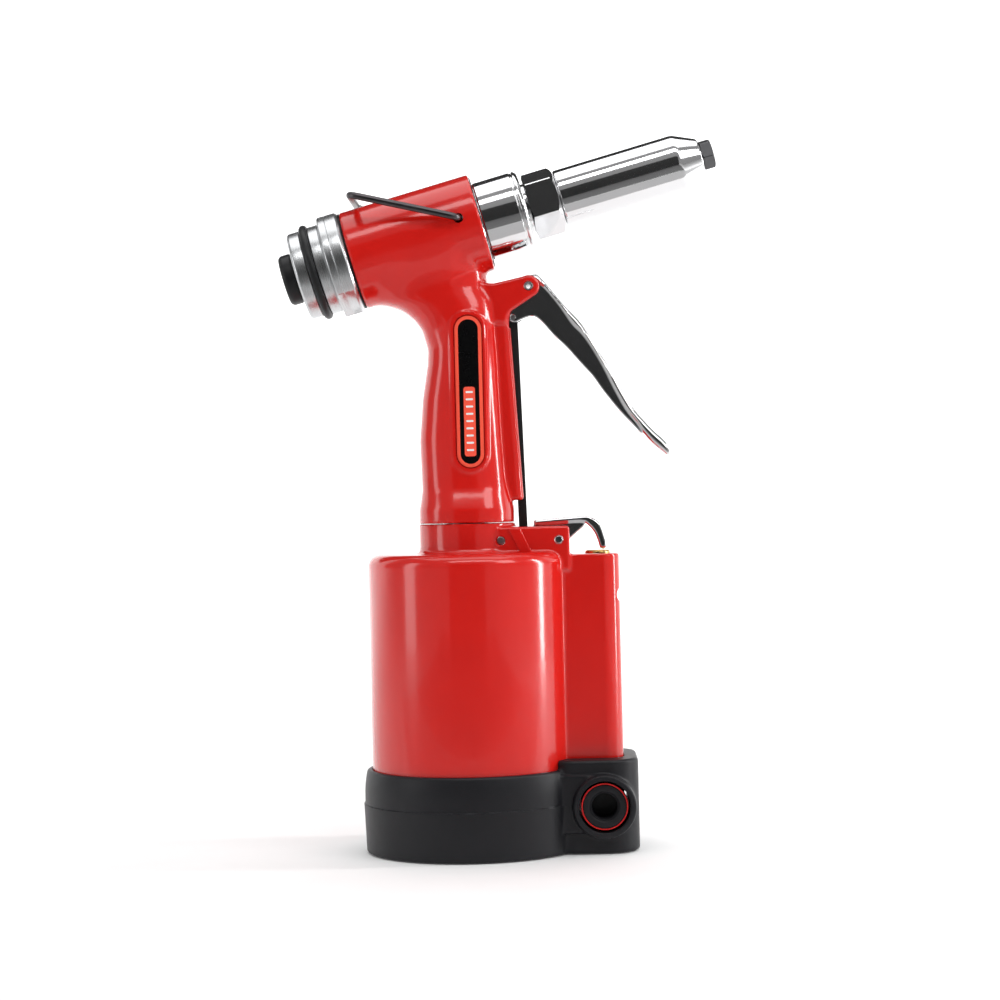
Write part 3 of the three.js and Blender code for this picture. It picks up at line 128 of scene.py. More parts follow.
# ---------------------------------------------------------------- sizes and colours
class RivetGunSizes(bpy.types.PropertyGroup):
    """Sizes of the finer pieces."""

    skin_step: bpy.props.FloatProperty(
        name="Casting mesh step", description="Grid step of the castings' skins", default=0.68 * MM,
        unit="LENGTH"
    )
    bail_wire: bpy.props.FloatProperty(
        name="Bail wire radius", description="Radius of the hanger wire", default=1.45 * MM, unit="LENGTH"
    )
    thread_pitch: bpy.props.FloatProperty(
        name="Inlet thread pitch", description="Distance between the inlet's thread turns", default=1.4 * MM,
        unit="LENGTH",
    )
    thread_turns: bpy.props.IntProperty(
        name="Inlet thread turns", description="Number of turns in the air inlet", default=8, min=1
    )
    tick_count: bpy.props.IntProperty(
        name="Label ticks", description="Number of tick marks on the grip's label", default=9, min=2
    )
    tick_spacing: bpy.props.FloatProperty(
        name="Tick spacing", description="Distance between tick marks", default=3.0 * MM, unit="LENGTH"
    )


class RivetGunColours(bpy.types.PropertyGroup):
    """Colours of the finishes."""

    enamel: bpy.props.FloatVectorProperty(
        name="Enamel", description="Red paint on the castings", default=(0.68, 0.0105, 0.0065),
        subtype="COLOR"
    )
    chrome: bpy.props.FloatVectorProperty(
        name="Chrome", description="Polished plate", default=(0.8, 0.8, 0.81), subtype="COLOR"
    )
    moulding: bpy.props.FloatVectorProperty(
        name="Moulding", description="Black base and valve mouldings", default=(0.0085, 0.0085, 0.0105),
        subtype="COLOR"
    )
    label_edge: bpy.props.FloatVectorProperty(
        name="Label edge", description="Border round the grip's label", default=(0.95, 0.1, 0.055),
        subtype="COLOR"
    )


def sizes():
    return bpy.context.scene.rivet_gun_sizes


def colours():
    return bpy.context.scene.rivet_gun_colours


# ------------------------------------------------------------------- node recipes
class Wire:
    """A node's output, for use in sums."""

    def __init__(self, recipe, socket):
        self.recipe = recipe
        self.socket = socket

    def _sum(self, operation, first, second):
        return self.recipe.node("ShaderNodeMath", {"operation": operation}, {0: first, 1: second})

    def __add__(self, other):
        return self._sum("ADD", self, other)

    def __radd__(self, other):
        return self._sum("ADD", other, self)

    def __sub__(self, other):
        return self._sum("SUBTRACT", self, other)

    def __rsub__(self, other):
        return self._sum("SUBTRACT", other, self)

    def __mul__(self, other):
        return self._sum("MULTIPLY", self, other)

    def __rmul__(self, other):
        return self._sum("MULTIPLY", other, self)

    def __truediv__(self, other):
        return self._sum("DIVIDE", self, other)

    def __pow__(self, other):
        return self._sum("POWER", self, other)


class Recipe:
    """Adds nodes to a shader or geometry tree."""

    def __init__(self, tree):
        self.tree = tree
        tree.nodes.clear()

    def node(self, kind, settings=None, sockets=None, out=0):
        """Adds a node, sets it, fills or links its sockets and returns one output."""
        made = self.tree.nodes.new(kind)
        for setting, value in (settings or {}).items():
            setattr(made, setting, value)
        for key, value in (sockets or {}).items():
            if isinstance(value, Wire):
                self.tree.links.new(value.socket, made.inputs[key])
            else:
                made.inputs[key].default_value = value
        return Wire(self, made.outputs[out]) if len(made.outputs) else made

    def object_place(self):
        return self.node("ShaderNodeTexCoord", out="Object")

    def noise(self, place, scale, detail=2.0, roughness=0.5):
        sockets = {"Vector": place, "Scale": scale, "Detail": detail, "Roughness": roughness}
        return self.node("ShaderNodeTexNoise", {}, sockets, out="Fac")

    def blend(self, amount, first, second):
        sockets = {"Factor": amount, 6: first, 7: second}
        return self.node("ShaderNodeMix", {"data_type": "RGBA"}, sockets, out=2)

    def bump(self, height, strength, distance):
        sockets = {"Height": height, "Strength": strength, "Distance": distance}
        return self.node("ShaderNodeBump", {}, sockets)

    def surface(self, sockets):
        shader = self.node("ShaderNodeBsdfPrincipled", {}, sockets)
        self.node("ShaderNodeOutputMaterial", {}, {"Surface": shader})


def solid_colour(colour):
    return (*colour, 1.0)


def dimmed(colour, share):
    """The colour scaled by share, as a socket takes it."""
    return solid_colour(channel * share for channel in colour)


FINISHES = {}


def finish_named(name, recipe_for):
    """The material called name, made on first use."""
    if name not in FINISHES:
        material = bpy.data.materials.new(name)
        material.use_nodes = True
        recipe_for(Recipe(material.node_tree))
        FINISHES[name] = material
    return FINISHES[name]


def red_enamel():
    def make(r):
        place = r.object_place()
        flow = r.noise(place, 45.0, 2.0)
        peel = r.noise(place, 620.0, 2.0, 0.45)
        fleck = r.noise(place, 2600.0, 1.0)
        red = colours().enamel
        tint = r.blend(flow, dimmed(red, 0.86), solid_colour(red))
        r.surface(
            {
                "Base Color": tint,
                "Roughness": 0.13 + flow * 0.05 + fleck * 0.03,
                "Specular IOR Level": 0.5,
                "Coat Weight": 0.3,
                "Coat Roughness": 0.03,
                "Normal": r.bump(peel, 0.1, 0.2 * MM),
            }
        )

    return finish_named("red_enamel", make)


def polished_chrome():
    def make(r):
        place = r.object_place()
        haze = r.noise(place, 60.0, 3.0)
        ripple = r.noise(place, 240.0, 3.0, 0.6)
        plate = colours().chrome
        tint = r.blend(haze, dimmed(plate, 0.95), solid_colour(plate))
        r.surface(
            {
                "Base Color": tint,
                "Metallic": 1.0,
                "Roughness": 0.045 + haze * 0.09,
                "Normal": r.bump(ripple, 0.12, 0.1 * MM),
            }
        )

    return finish_named("polished_chrome", make)


def along_head(r):
    """How far along the head's axis a point is, in metres."""
    axis = (math.cos(HEAD_TILT), 0.0, math.sin(HEAD_TILT))
    sockets = {0: r.object_place(), 1: axis}
    return r.node("ShaderNodeVectorMath", {"operation": "DOT_PRODUCT"}, sockets, out="Value")


TOOL_MARKS = 7500.0  # rings to a metre, roughly


def turned_metal(name, tint, roughness):
    """Metal with fine tool marks in rings round the head's axis."""

    def make(r):
        sockets = {"W": along_head(r), "Scale": TOOL_MARKS, "Detail": 3.0}
        steps = r.node("ShaderNodeTexNoise", {"noise_dimensions": "1D"}, sockets, out="Fac")
        haze = r.noise(r.object_place(), 90.0, 3.0)
        r.surface(
            {
                "Base Color": r.blend(haze, dimmed(tint, 0.9), solid_colour(tint)),
                "Metallic": 1.0,
                "Roughness": roughness + steps * 0.12 + haze * 0.05,
                "Normal": r.bump(steps, 0.2, 0.05 * MM),
            }
        )

    return finish_named(name, make)


def turned_aluminium():
    return turned_metal("turned_aluminium", (0.66, 0.67, 0.68), 0.2)


def plain_metal(name, tint, roughness, grain=900.0):
    """Ground or blackened metal with a fine even grain."""

    def make(r):
        place = r.object_place()
        cloud = r.noise(place, 150.0, 4.0)
        fine = r.noise(place, grain, 3.0, 0.6)
        r.surface(
            {
                "Base Color": r.blend(cloud, dimmed(tint, 0.75), solid_colour(tint)),
                "Metallic": 1.0,
                "Roughness": roughness + cloud * 0.1 + fine * 0.06,
                "Normal": r.bump(fine, 0.15, 0.06 * MM),
            }
        )

    return finish_named(name, make)


def ground_steel():
    return plain_metal("ground_steel", (0.5, 0.5, 0.51), 0.22)


def blackened_steel():
    return plain_metal("blackened_steel", (0.13, 0.13, 0.135), 0.26)


def dark_wire():
    return plain_metal("dark_wire", (0.11, 0.1, 0.105), 0.24, 1500.0)


def machined_brass():
    return plain_metal("machined_brass", (0.83, 0.55, 0.2), 0.14)


def moulded(name, tint, roughness, grain, depth, speckle=0.4):
    """A black or coloured moulding with an even pebbled grain."""

    def make(r):
        place = r.object_place()
        pebbles = r.noise(place, grain, 2.0, 0.55)
        cloud = r.noise(place, 70.0, 3.0)
        scuffs = r.noise(place, 260.0, 4.0, 0.65)
        r.surface(
            {
                "Base Color": r.blend(cloud, solid_colour(tint), dimmed(tint, 1 + speckle)),
                "Roughness": roughness + scuffs * 0.12 + pebbles * 0.05,
                "Specular IOR Level": 0.26,
                "Normal": r.bump(pebbles, 0.3, depth),
            }
        )

    return finish_named(name, make)


def black_moulding():
    return moulded("black_moulding", tuple(colours().moulding), 0.36, 2300.0, 0.09 * MM)


def black_rubber():
    return moulded("black_rubber", (0.012, 0.012, 0.013), 0.3, 1500.0, 0.03 * MM)


def link_paint():
    return moulded("link_paint", (0.011, 0.011, 0.012), 0.42, 1900.0, 0.05 * MM)


def red_moulding():
    return moulded("red_moulding", (0.62, 0.012, 0.012), 0.3, 1200.0, 0.02 * MM)


def label_black():
    return moulded("label_black", (0.0015, 0.0015, 0.0017), 0.2, 900.0, 0.01 * MM)


def label_border():
    return moulded("label_border", tuple(colours().label_edge), 0.34, 900.0, 0.01 * MM, 0.05)


def label_white():
    return moulded("label_white", (0.86, 0.86, 0.85), 0.4, 900.0, 0.01 * MM, 0.03)


# ------------------------------------------------------------------- mesh making
def new_mesh(name, points, faces, place):
    """A mesh from points in millimetres, moved by place, which is in millimetres too."""
    mesh = bpy.data.meshes.new(name)
    scaled = Matrix.Scale(MM, 4) @ place
    mesh.from_pydata([scaled @ Vector(point) for point in points], [], faces)
    mesh.validate()
    return mesh


SAME_POINT = 1e-6  # metres


def tidy(mesh):
    """Merges doubles, points the faces outwards and shades curved stretches smooth."""
    work = bmesh.new()
    work.from_mesh(mesh)
    bmesh.ops.remove_doubles(work, verts=work.verts, dist=SAME_POINT)
    bmesh.ops.recalc_face_normals(work, faces=work.faces)
    work.to_mesh(mesh)
    work.free()
    shade(mesh)
    return mesh


def shade(mesh, angle=32.0):
    """Smooth shading, apart from edges sharper than angle."""
    mesh.shade_smooth()
    mesh.set_sharp_from_angle(angle=math.radians(angle))


def rounded(corners, steps=5):
    """A closed or open run of (x, y, corner radius) with its corners rounded."""
    points = []
    count = len(corners)
    for i, corner in enumerate(corners):
        here = Vector(corner[:2])
        radius = corner[2] if len(corner) > 2 else 0.0
        before = Vector(corners[i - 1][:2]) - here
        after = Vector(corners[(i + 1) % count][:2]) - here
        if not radius or before.length == 0 or after.length == 0:
            points.append(here)
            continue
        start = here + before.normalized() * min(radius, before.length * 0.5)
        end = here + after.normalized() * min(radius, after.length * 0.5)
        for k in range(steps + 1):
            t = k / steps
            points.append(start * (1 - t) ** 2 + here * 2 * t * (1 - t) + end * t**2)
    return points


def turned(name, corners, segments=120, place=NO_MOVE, closed=False):
    """A profile of (radius, height, corner radius) turned about +Z."""
    profile = rounded(corners)
    points = []
    rings = []
    for radius, height in profile:
        if radius < SAME_POINT:
            rings.append([len(points)] * segments)
            points.append((0.0, 0.0, height))
            continue
        rings.append(list(range(len(points), len(points) + segments)))
        for k in range(segments):
            angle = 2 * math.pi * k / segments
            points.append((radius * math.cos(angle), radius * math.sin(angle), height))
    faces = []
    pairs = zip(rings, rings[1:] + rings[:1]) if closed else zip(rings, rings[1:])
    for lower, upper in pairs:
        for k in range(segments):
            after = (k + 1) % segments
            face = list(dict.fromkeys((lower[k], lower[after], upper[after], upper[k])))
            if len(face) > 2:
                faces.append(face)
    return tidy(new_mesh(name, points, faces, place))


def prism(name, outline, low, high, place=NO_MOVE):
    """A flat outline of (x, y) pulled from one height to another."""
    count = len(outline)
    points = [(x, y, z) for z in (low, high) for x, y in outline]
    faces = [list(range(count))[::-1], list(range(count, 2 * count))]
    for k in range(count):
        after = (k + 1) % count
        faces.append([k, after, count + after, count + k])
    return tidy(new_mesh(name, points, faces, place))


SIDE_VIEW = Matrix(((1, 0, 0, 0), (0, 0, 1, 0), (0, 1, 0, 0), (0, 0, 0, 1)))


def side_prism(name, outline, half_width, shift=0.0):
    """An outline in the side view (x, z), centred on y = shift."""
    return prism(name, outline, shift - half_width, shift + half_width, SIDE_VIEW)


def temporary(mesh):
    """An object for a mesh, in the scene."""
    made = bpy.data.objects.new(mesh.name, mesh)
    bpy.context.scene.collection.objects.link(made)
    return made


def baked(owner, name):
    """The object's mesh with its modifiers applied; the object itself is removed."""
    bpy.context.view_layer.update()
    graph = bpy.context.evaluated_depsgraph_get()
    mesh = bpy.data.meshes.new_from_object(owner.evaluated_get(graph))
    mesh.name = name
    bpy.data.objects.remove(owner)
    return mesh


def combined(base, others, operation):
    """Joins or cuts closed meshes, one after another."""
    owner = temporary(base)
    tools = [temporary(other) for other in others]
    for tool in tools:
        step = owner.modifiers.new("step", "BOOLEAN")
        step.operation = operation
        step.solver = "MANIFOLD"
        step.object = tool
    mesh = baked(owner, base.name)
    for tool in tools:
        bpy.data.objects.remove(tool)
    if len(mesh.polygons) == 0:
        raise RuntimeError(f"{base.name}: nothing left after {operation}")
    shade(mesh)
    return mesh


def bevelled(mesh, width, steps=3, angle=38.0):
    """Rounds the edges sharper than angle, by width in millimetres."""
    owner = temporary(mesh)
    bevel = owner.modifiers.new("bevel", "BEVEL")
    bevel.width = width * MM
    bevel.segments = steps
    bevel.limit_method = "ANGLE"
    bevel.angle_limit = math.radians(angle)
    bevel.use_clamp_overlap = True
    mesh = baked(owner, mesh.name)
    shade(mesh, 40.0)
    return mesh


def evened(mesh, sharp=40.0):
    """Shades a bevelled mesh so that its flats stay flat."""
    shade(mesh, sharp)
    owner = temporary(mesh)
    step = owner.modifiers.new("even", "WEIGHTED_NORMAL")
    step.mode = "FACE_AREA"
    step.weight = 100
    step.keep_sharp = True
    return baked(owner, mesh.name)


def pin_cutter(place, radius, half_width, flare=0.35):
    """Cuts a cross hole whose mouths are eased at half_width."""
    past = 4.0
    reach, mouth = half_width + past, radius + flare
    corners = [
        (0, -reach), (mouth + past, -reach), (mouth, -half_width), (radius, -half_width + flare),
        (radius, half_width - flare), (mouth, half_width), (mouth + past, reach), (0, reach),
    ]
    across = Matrix.Translation((place[0], 0, place[1])) @ Matrix.Rotation(math.radians(90), 4, "X")
    return turned("hole", corners, 40, across)


def piece(name, mesh, body, material, node):
    """Puts a finished mesh on its body in place of the CAD node it stands for."""
    mesh.name = name
    made = bpy.data.objects.new(name, mesh)
    bpy.context.scene.collection.objects.link(made)
    numbers = [polygon.material_index for polygon in mesh.polygons]
    mesh.materials.clear()
    several = isinstance(material, (list, tuple))
    for one in material if several else [material]:
        mesh.materials.append(one)
    mesh.polygons.foreach_set("material_index", numbers if several else [0] * len(numbers))
    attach(made, body)
    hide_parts(node)


# ---------------------------------------------------------- skins of the mouldings
FILLET_SHARE = 0.25


def smooth_union(first, second, blend):
    """Joins two distances with a fillet about as wide as blend."""
    reach = np.maximum(blend - np.abs(first - second), 0.0) / blend
    return np.minimum(first, second) - reach * reach * blend * FILLET_SHARE


def box_distance(u, v, centre_u, centre_v, half_u, half_v, corner):
    """Signed distance to a flat box with round corners."""
    du = np.abs(u - centre_u) - half_u + corner
    dv = np.abs(v - centre_v) - half_v + corner
    outside = np.hypot(np.maximum(du, 0.0), np.maximum(dv, 0.0))
    return outside + np.minimum(np.maximum(du, dv), 0.0) - corner


def outline_distance(u, v, corners):
    """Signed distance to a closed outline of straight edges."""
    nearest = np.full(u.shape, 1e9)
    inside = np.zeros(u.shape, bool)
    for (u0, v0), (u1, v1) in zip(corners, corners[1:] + corners[:1]):
        du, dv = u1 - u0, v1 - v0
        share = np.clip(((u - u0) * du + (v - v0) * dv) / (du * du + dv * dv), 0.0, 1.0)
        nearest = np.minimum(nearest, np.hypot(u - u0 - share * du, v - v0 - share * dv))
        if dv:
            inside ^= ((v0 > v) != (v1 > v)) & (u < u0 + du * (v - v0) / dv)
    return np.where(inside, -nearest, nearest)


def side_distance(x, z, corners):
    """Distance to an outline in the side view, worked out once for all y on a grid."""
    if x.ndim == 3:
        return outline_distance(x[:, :1], z[:, :1], corners)
    return outline_distance(x, z, corners)


def pulled(distance, across, half, corner):
    """A flat distance pulled across to a rounded slab."""
    du = distance + corner
    dv = np.abs(across) - half + corner
    outside = np.hypot(np.maximum(du, 0.0), np.maximum(dv, 0.0))
    return outside + np.minimum(np.maximum(du, dv), 0.0) - corner


def rounded_post(radial, height, radius, low, high, corner):
    """Signed distance to a round post with eased ends."""
    middle, half = (low + high) / 2, (high - low) / 2
    return pulled(radial - radius, height - middle, half, corner)


SKIN_ROOM = 1.5  # millimetres of grid outside a skin


def skin(name, field, xs, ys, zs):
    """A mesh of even squares on the surface where field is zero."""
    grids = np.meshgrid(xs, ys, zs, indexing="ij")
    values = field(*grids)
    inside = values < 0
    cells = tuple(size - 1 for size in values.shape)
    total = np.zeros(cells + (3,))
    count = np.zeros(cells)
    crossings = []
    for axis in range(3):
        low = [slice(None)] * 3
        high = [slice(None)] * 3
        low[axis], high[axis] = slice(0, -1), slice(1, None)
        low, high = tuple(low), tuple(high)
        at = np.argwhere(inside[low] != inside[high])
        start = tuple(at.T)
        end = list(start)
        end[axis] = end[axis] + 1
        end = tuple(end)
        share = values[start] / (values[start] - values[end])
        point = np.stack([grid[start] for grid in grids], 1)
        point[:, axis] += share * (grids[axis][end] - grids[axis][start])
        crossings.append((axis, at, inside[start]))
        first, second = [k for k in range(3) if k != axis]
        for a in (0, -1):
            for b in (0, -1):
                cell = at.copy()
                cell[:, first] += a
                cell[:, second] += b
                good = np.all((cell >= 0) & (cell < cells), axis=1)
                index = tuple(cell[good].T)
                np.add.at(total, index, point[good])
                np.add.at(count, index, 1)
    used = count > 0
    number = np.full(cells, -1)
    number[used] = np.arange(used.sum())
    points = total[used] / count[used][:, None]
    quads = []
    for axis, at, starts_inside in crossings:
        first, second = [k for k in range(3) if k != axis]
        corners = []
        for a, b in ((-1, -1), (0, -1), (0, 0), (-1, 0)):
            cell = at.copy()
            cell[:, first] += a
            cell[:, second] += b
            corners.append(number[tuple(cell.T)])
        square = np.stack(corners, 1)
        flip = starts_inside == (axis == 1)
        square[flip] = square[flip][:, ::-1]
        quads.append(square)
    quads = np.concatenate(quads)
    edges = np.concatenate([quads[:, [k, (k + 1) % 4]] for k in range(4)])
    for _ in range(3):
        drift = np.zeros_like(points)
        share = np.zeros(len(points))
        np.add.at(drift, edges[:, 0], points[edges[:, 1]])
        np.add.at(share, edges[:, 0], 1)
        points = 0.5 * points + 0.5 * drift / share[:, None]
        for _ in range(2):
            points = settled(points, field)
    mesh = bpy.data.meshes.new(name)
    mesh.from_pydata((points * MM).tolist(), [], quads.tolist())
    shade(mesh, 50.0)
    return mesh


def settled(points, field, nudge=0.04, furthest=0.5):
    """Moves points onto the surface along its slope."""
    here = field(*points.T)
    slope = np.empty_like(points)
    for axis in range(3):
        step = np.zeros(3)
        step[axis] = nudge
        slope[:, axis] = (field(*(points + step).T) - field(*(points - step).T)) / (2 * nudge)
    steepness = np.maximum((slope**2).sum(1), 0.05)
    move = slope * (here / steepness)[:, None]
    length = np.linalg.norm(move, axis=1)
    move *= np.minimum(1.0, furthest / np.maximum(length, 1e-9))[:, None]
    return points - move


def span(low, high, step):
    """Even grid lines no further apart than about step."""
    return np.linspace(low, high, max(2, round((high - low) / step) + 1))


def spans(*stretches):
    """Grid lines from (low, high, step) stretches that follow on."""
    lines = [span(*stretch) for stretch in stretches]
    return np.unique(np.round(np.concatenate(lines), 4))


def lever_mesh(name, pivot, plate, web, plate_half, web_half, plate_round, step):
    """A lever of a rounded plate along its edge and a flat-sided web behind it."""
    outlines = []
    for outline in (plate, web):
        placed = [(pivot[0] + along, pivot[1] + above) for along, above in outline]
        outlines.append([tuple(point) for point in smoothed(placed)])

    def field(x, y, z):
        edge_plate = pulled(side_distance(x, z, outlines[0]), y, plate_half, plate_round)
        side_web = pulled(side_distance(x, z, outlines[1]), y, web_half, 0.45)
        return smooth_union(edge_plate, side_web, 0.7)

    corners = np.array(outlines[0] + outlines[1])
    low, high = corners.min(axis=0) - 1, corners.max(axis=0) + 1
    half = plate_half + 1
    return skin(name, field, span(low[0], high[0], step), span(-half, half, step),
                span(low[1], high[1], step))


# ------------------------------------------------------------- power cylinder
NECK_RADIUS = 20.2
BORE_RADIUS = 38.0
BRACKET_TOP = CYLINDER_TOP + 10.4
BRACKET_END = CYLINDER_RADIUS + 0.6
BRACKET_HALF_WIDTH = 16.0


def cylinder_field(x, y, z):
    radial = np.hypot(x, y)
    barrel = rounded_post(radial, z, CYLINDER_RADIUS, CYLINDER_FOOT - 12.0, CYLINDER_TOP, 5.0)
    neck = rounded_post(radial, z, NECK_RADIUS, CYLINDER_TOP - 12, NECK_TOP, 0.5)
    middle = (COLUMN_END - 10.0) / 2
    plan = box_distance(x, y, middle, 0, COLUMN_END - middle, 15.0, 7.5)
    column = pulled(plan, z - COLUMN_TOP / 2, COLUMN_TOP / 2, 0.9)
    side = box_distance(x, z, 24.0, CYLINDER_TOP + 1.2, BRACKET_END - 24.0,
                        BRACKET_TOP - CYLINDER_TOP - 1.2, 1.4)
    bracket = pulled(side, y, BRACKET_HALF_WIDTH, 1.1)
    shape = smooth_union(barrel, neck, 2.6)
    shape = smooth_union(shape, column, 1.6)
    shape = smooth_union(shape, bracket, 1.3)
    return np.maximum(shape, CYLINDER_FOOT - z)


def cylinder_mesh():
    step = sizes().skin_step / MM
    reach = CYLINDER_RADIUS + SKIN_ROOM
    plain_low, plain_high = 30, 112
    base = skin(
        "cylinder_skin",
        cylinder_field,
        span(-reach, COLUMN_END + SKIN_ROOM, step * 1.1),
        span(-reach, reach, step * 1.1),
        spans(
            (CYLINDER_FOOT - SKIN_ROOM, plain_low, 2.4),
            (plain_low, plain_high, 1.6),
            (plain_high, NECK_TOP + SKIN_ROOM, step),
        ),
    )
    rib_foot = ROCKER_PIVOT[0] - 21
    rib = side_prism(
        "rib",
        [
            (rib_foot, BRACKET_TOP - 0.5),
            (rib_foot + 5.2, BRACKET_TOP - 0.5),
            (rib_foot + 9.9, CYLINDER_TOP - 0.4),
            (rib_foot + 5.1, CYLINDER_TOP - 0.4),
        ],
        BRACKET_HALF_WIDTH + 0.85,
    )
    joined = combined(base, [bevelled(rib, 0.4)], "UNION")
    slot_back = ROCKER_LINK[0] - 3.1
    slot = bevelled(
        side_prism(
            "slot",
            rounded(
                [
                    (slot_back, CYLINDER_TOP + 0.6, 1.5),
                    (BRACKET_END + 6, CYLINDER_TOP + 0.6),
                    (BRACKET_END + 6, BRACKET_TOP + 6),
                    (slot_back, BRACKET_TOP + 6),
                ]
            ),
            4.7,
        ),
        0.5,
    )
    groove_centre = (COLUMN_END + 2.8, COLUMN_TOP - 17.3)
    groove = turned("groove", [(0, -20), (4.1, -20), (4.1, 20), (0, 20)], 48, cross_place(groove_centre))
    exhaust = turned(
        "exhaust",
        [(0, VALVE_X), (1.6, VALVE_X), (1.6, COLUMN_END + 1), (0, COLUMN_END + 1)],
        24,
        Matrix.Translation((0, 0, groove_centre[1])) @ Matrix.Rotation(math.radians(90), 4, "Y"),
    )
    bore_top = CYLINDER_TOP - 7
    cuts = [
        upright("power_bore", [(0, -5), (BORE_RADIUS, -5), (BORE_RADIUS, bore_top), (0, bore_top)]),
        upright("ring_groove", [(0, 5.1), (BORE_RADIUS + 1.4, 5.1), (BORE_RADIUS + 1.4, 7.3), (0, 7.3)]),
        upright("gland_seat", [(0, bore_top - 2), (11.8, bore_top - 2), (11.8, CYLINDER_TOP + 4.3),
                               (0, CYLINDER_TOP + 4.3)]),
        upright("tube_seat", [(0, CYLINDER_TOP), (TUBE_HOLE, CYLINDER_TOP), (TUBE_HOLE, NECK_TOP + 5),
                              (0, NECK_TOP + 5)]),
        slot,
        groove,
        exhaust,
        pin_cutter(ROCKER_PIVOT, ROCKER_HOLE, BRACKET_HALF_WIDTH),
        pin_cutter(NECK_LOCK, 1.8, BRACKET_HALF_WIDTH),
        upright(
            "plunger_bore",
            [(0, COLUMN_TOP - 25), (5.45, COLUMN_TOP - 25), (5.45, COLUMN_TOP - 0.5),
             (10, COLUMN_TOP + 4.05), (0, COLUMN_TOP + 4.05)],
            VALVE_X,
        ),
        upright("air_passage", [(0, INLET_Z), (2.5, INLET_Z), (2.5, COLUMN_TOP - 3), (0, COLUMN_TOP - 3)],
                VALVE_X),
        turned("spool_bore", [(0, -26), (6.85, -26), (6.85, 26), (0, 26)], 48,
               cross_place((VALVE_X, INLET_Z))),
    ]
    return combined(joined, cuts, "DIFFERENCE")


def upright(name, corners, x=0.0, segments=72):
    return turned(name, corners, segments, Matrix.Translation((x, 0, 0)))


def cross_place(at):
    """Stands a turned shape across the tool; its top points to +Y."""
    return Matrix.Translation((at[0], 0, at[1])) @ Matrix.Rotation(math.radians(-90), 4, "X")


# --------------------------------------------------------------------- handle
HEAD_REAR, HEAD_FRONT = -47.2, 9.05
# Level cuts of the grip: share of the rise to the head's axis, back, front, half width.
GRIP_LEVELS = (
    (-0.02, -20.0, 19.9, 19.9),
    (0.045, -20.0, 19.9, 19.9),
    (0.08, -19.2, 19.2, 18.2),
    (0.112, -18.6, 18.4, 16.4),
    (0.15, -18.7, 17.6, 15.8),
    (0.28, -19.1, 16.6, 15.8),
    (0.42, -17.6, 15.8, 15.8),
    (0.54, -15.2, 15.2, 15.8),
    (0.59, -14.9, 14.8, 15.8),
    (0.656, -17.2, 14.4, 15.8),
    (0.69, -20.1, 14.2, 15.8),
    (0.725, -25.2, 14.0, 15.8),
    (0.752, -32.0, 13.6, 15.8),
    (0.79, -35.0, 11.0, 15.4),
    (0.98, -35.0, 8.9, 14.6),
)
GRIP_POWER = 2.326  # 2 makes the level cuts ellipses, and more makes them squarer
GRIP_LENGTH = HEAD_HEIGHT - SEAM
LABEL_CENTRE = (2.5, SEAM + 0.44 * GRIP_LENGTH)
LABEL_STRAIGHT = 25.8
LABEL_RADIUS = 5.6
LABEL_FACE = 15.6
RIDGE_LEAN = math.radians(3.1)


def grip_curves(z):
    """The grip's back, front and half width at a height, eased between the level cuts."""
    share = (z - SEAM) / GRIP_LENGTH
    fine = np.linspace(-0.02, 0.98, 401)
    width = 9
    kernel = np.exp(-np.linspace(-2, 2, 2 * width + 1) ** 2)
    kernel /= kernel.sum()
    levels = np.array(GRIP_LEVELS).T
    curves = []
    for column in levels[1:]:
        rough = np.interp(fine, levels[0], column)
        padded = np.concatenate([np.full(width, rough[0]), rough, np.full(width, rough[-1])])
        curves.append(np.interp(share, fine, np.convolve(padded, kernel, "valid")))
    return curves


def label_distance(x, z, spread):
    """Distance to the label's outline, let out by spread."""
    rise = np.clip(z - LABEL_CENTRE[1], -LABEL_STRAIGHT, LABEL_STRAIGHT)
    return np.hypot(x - LABEL_CENTRE[0], z - LABEL_CENTRE[1] - rise) - LABEL_RADIUS - spread


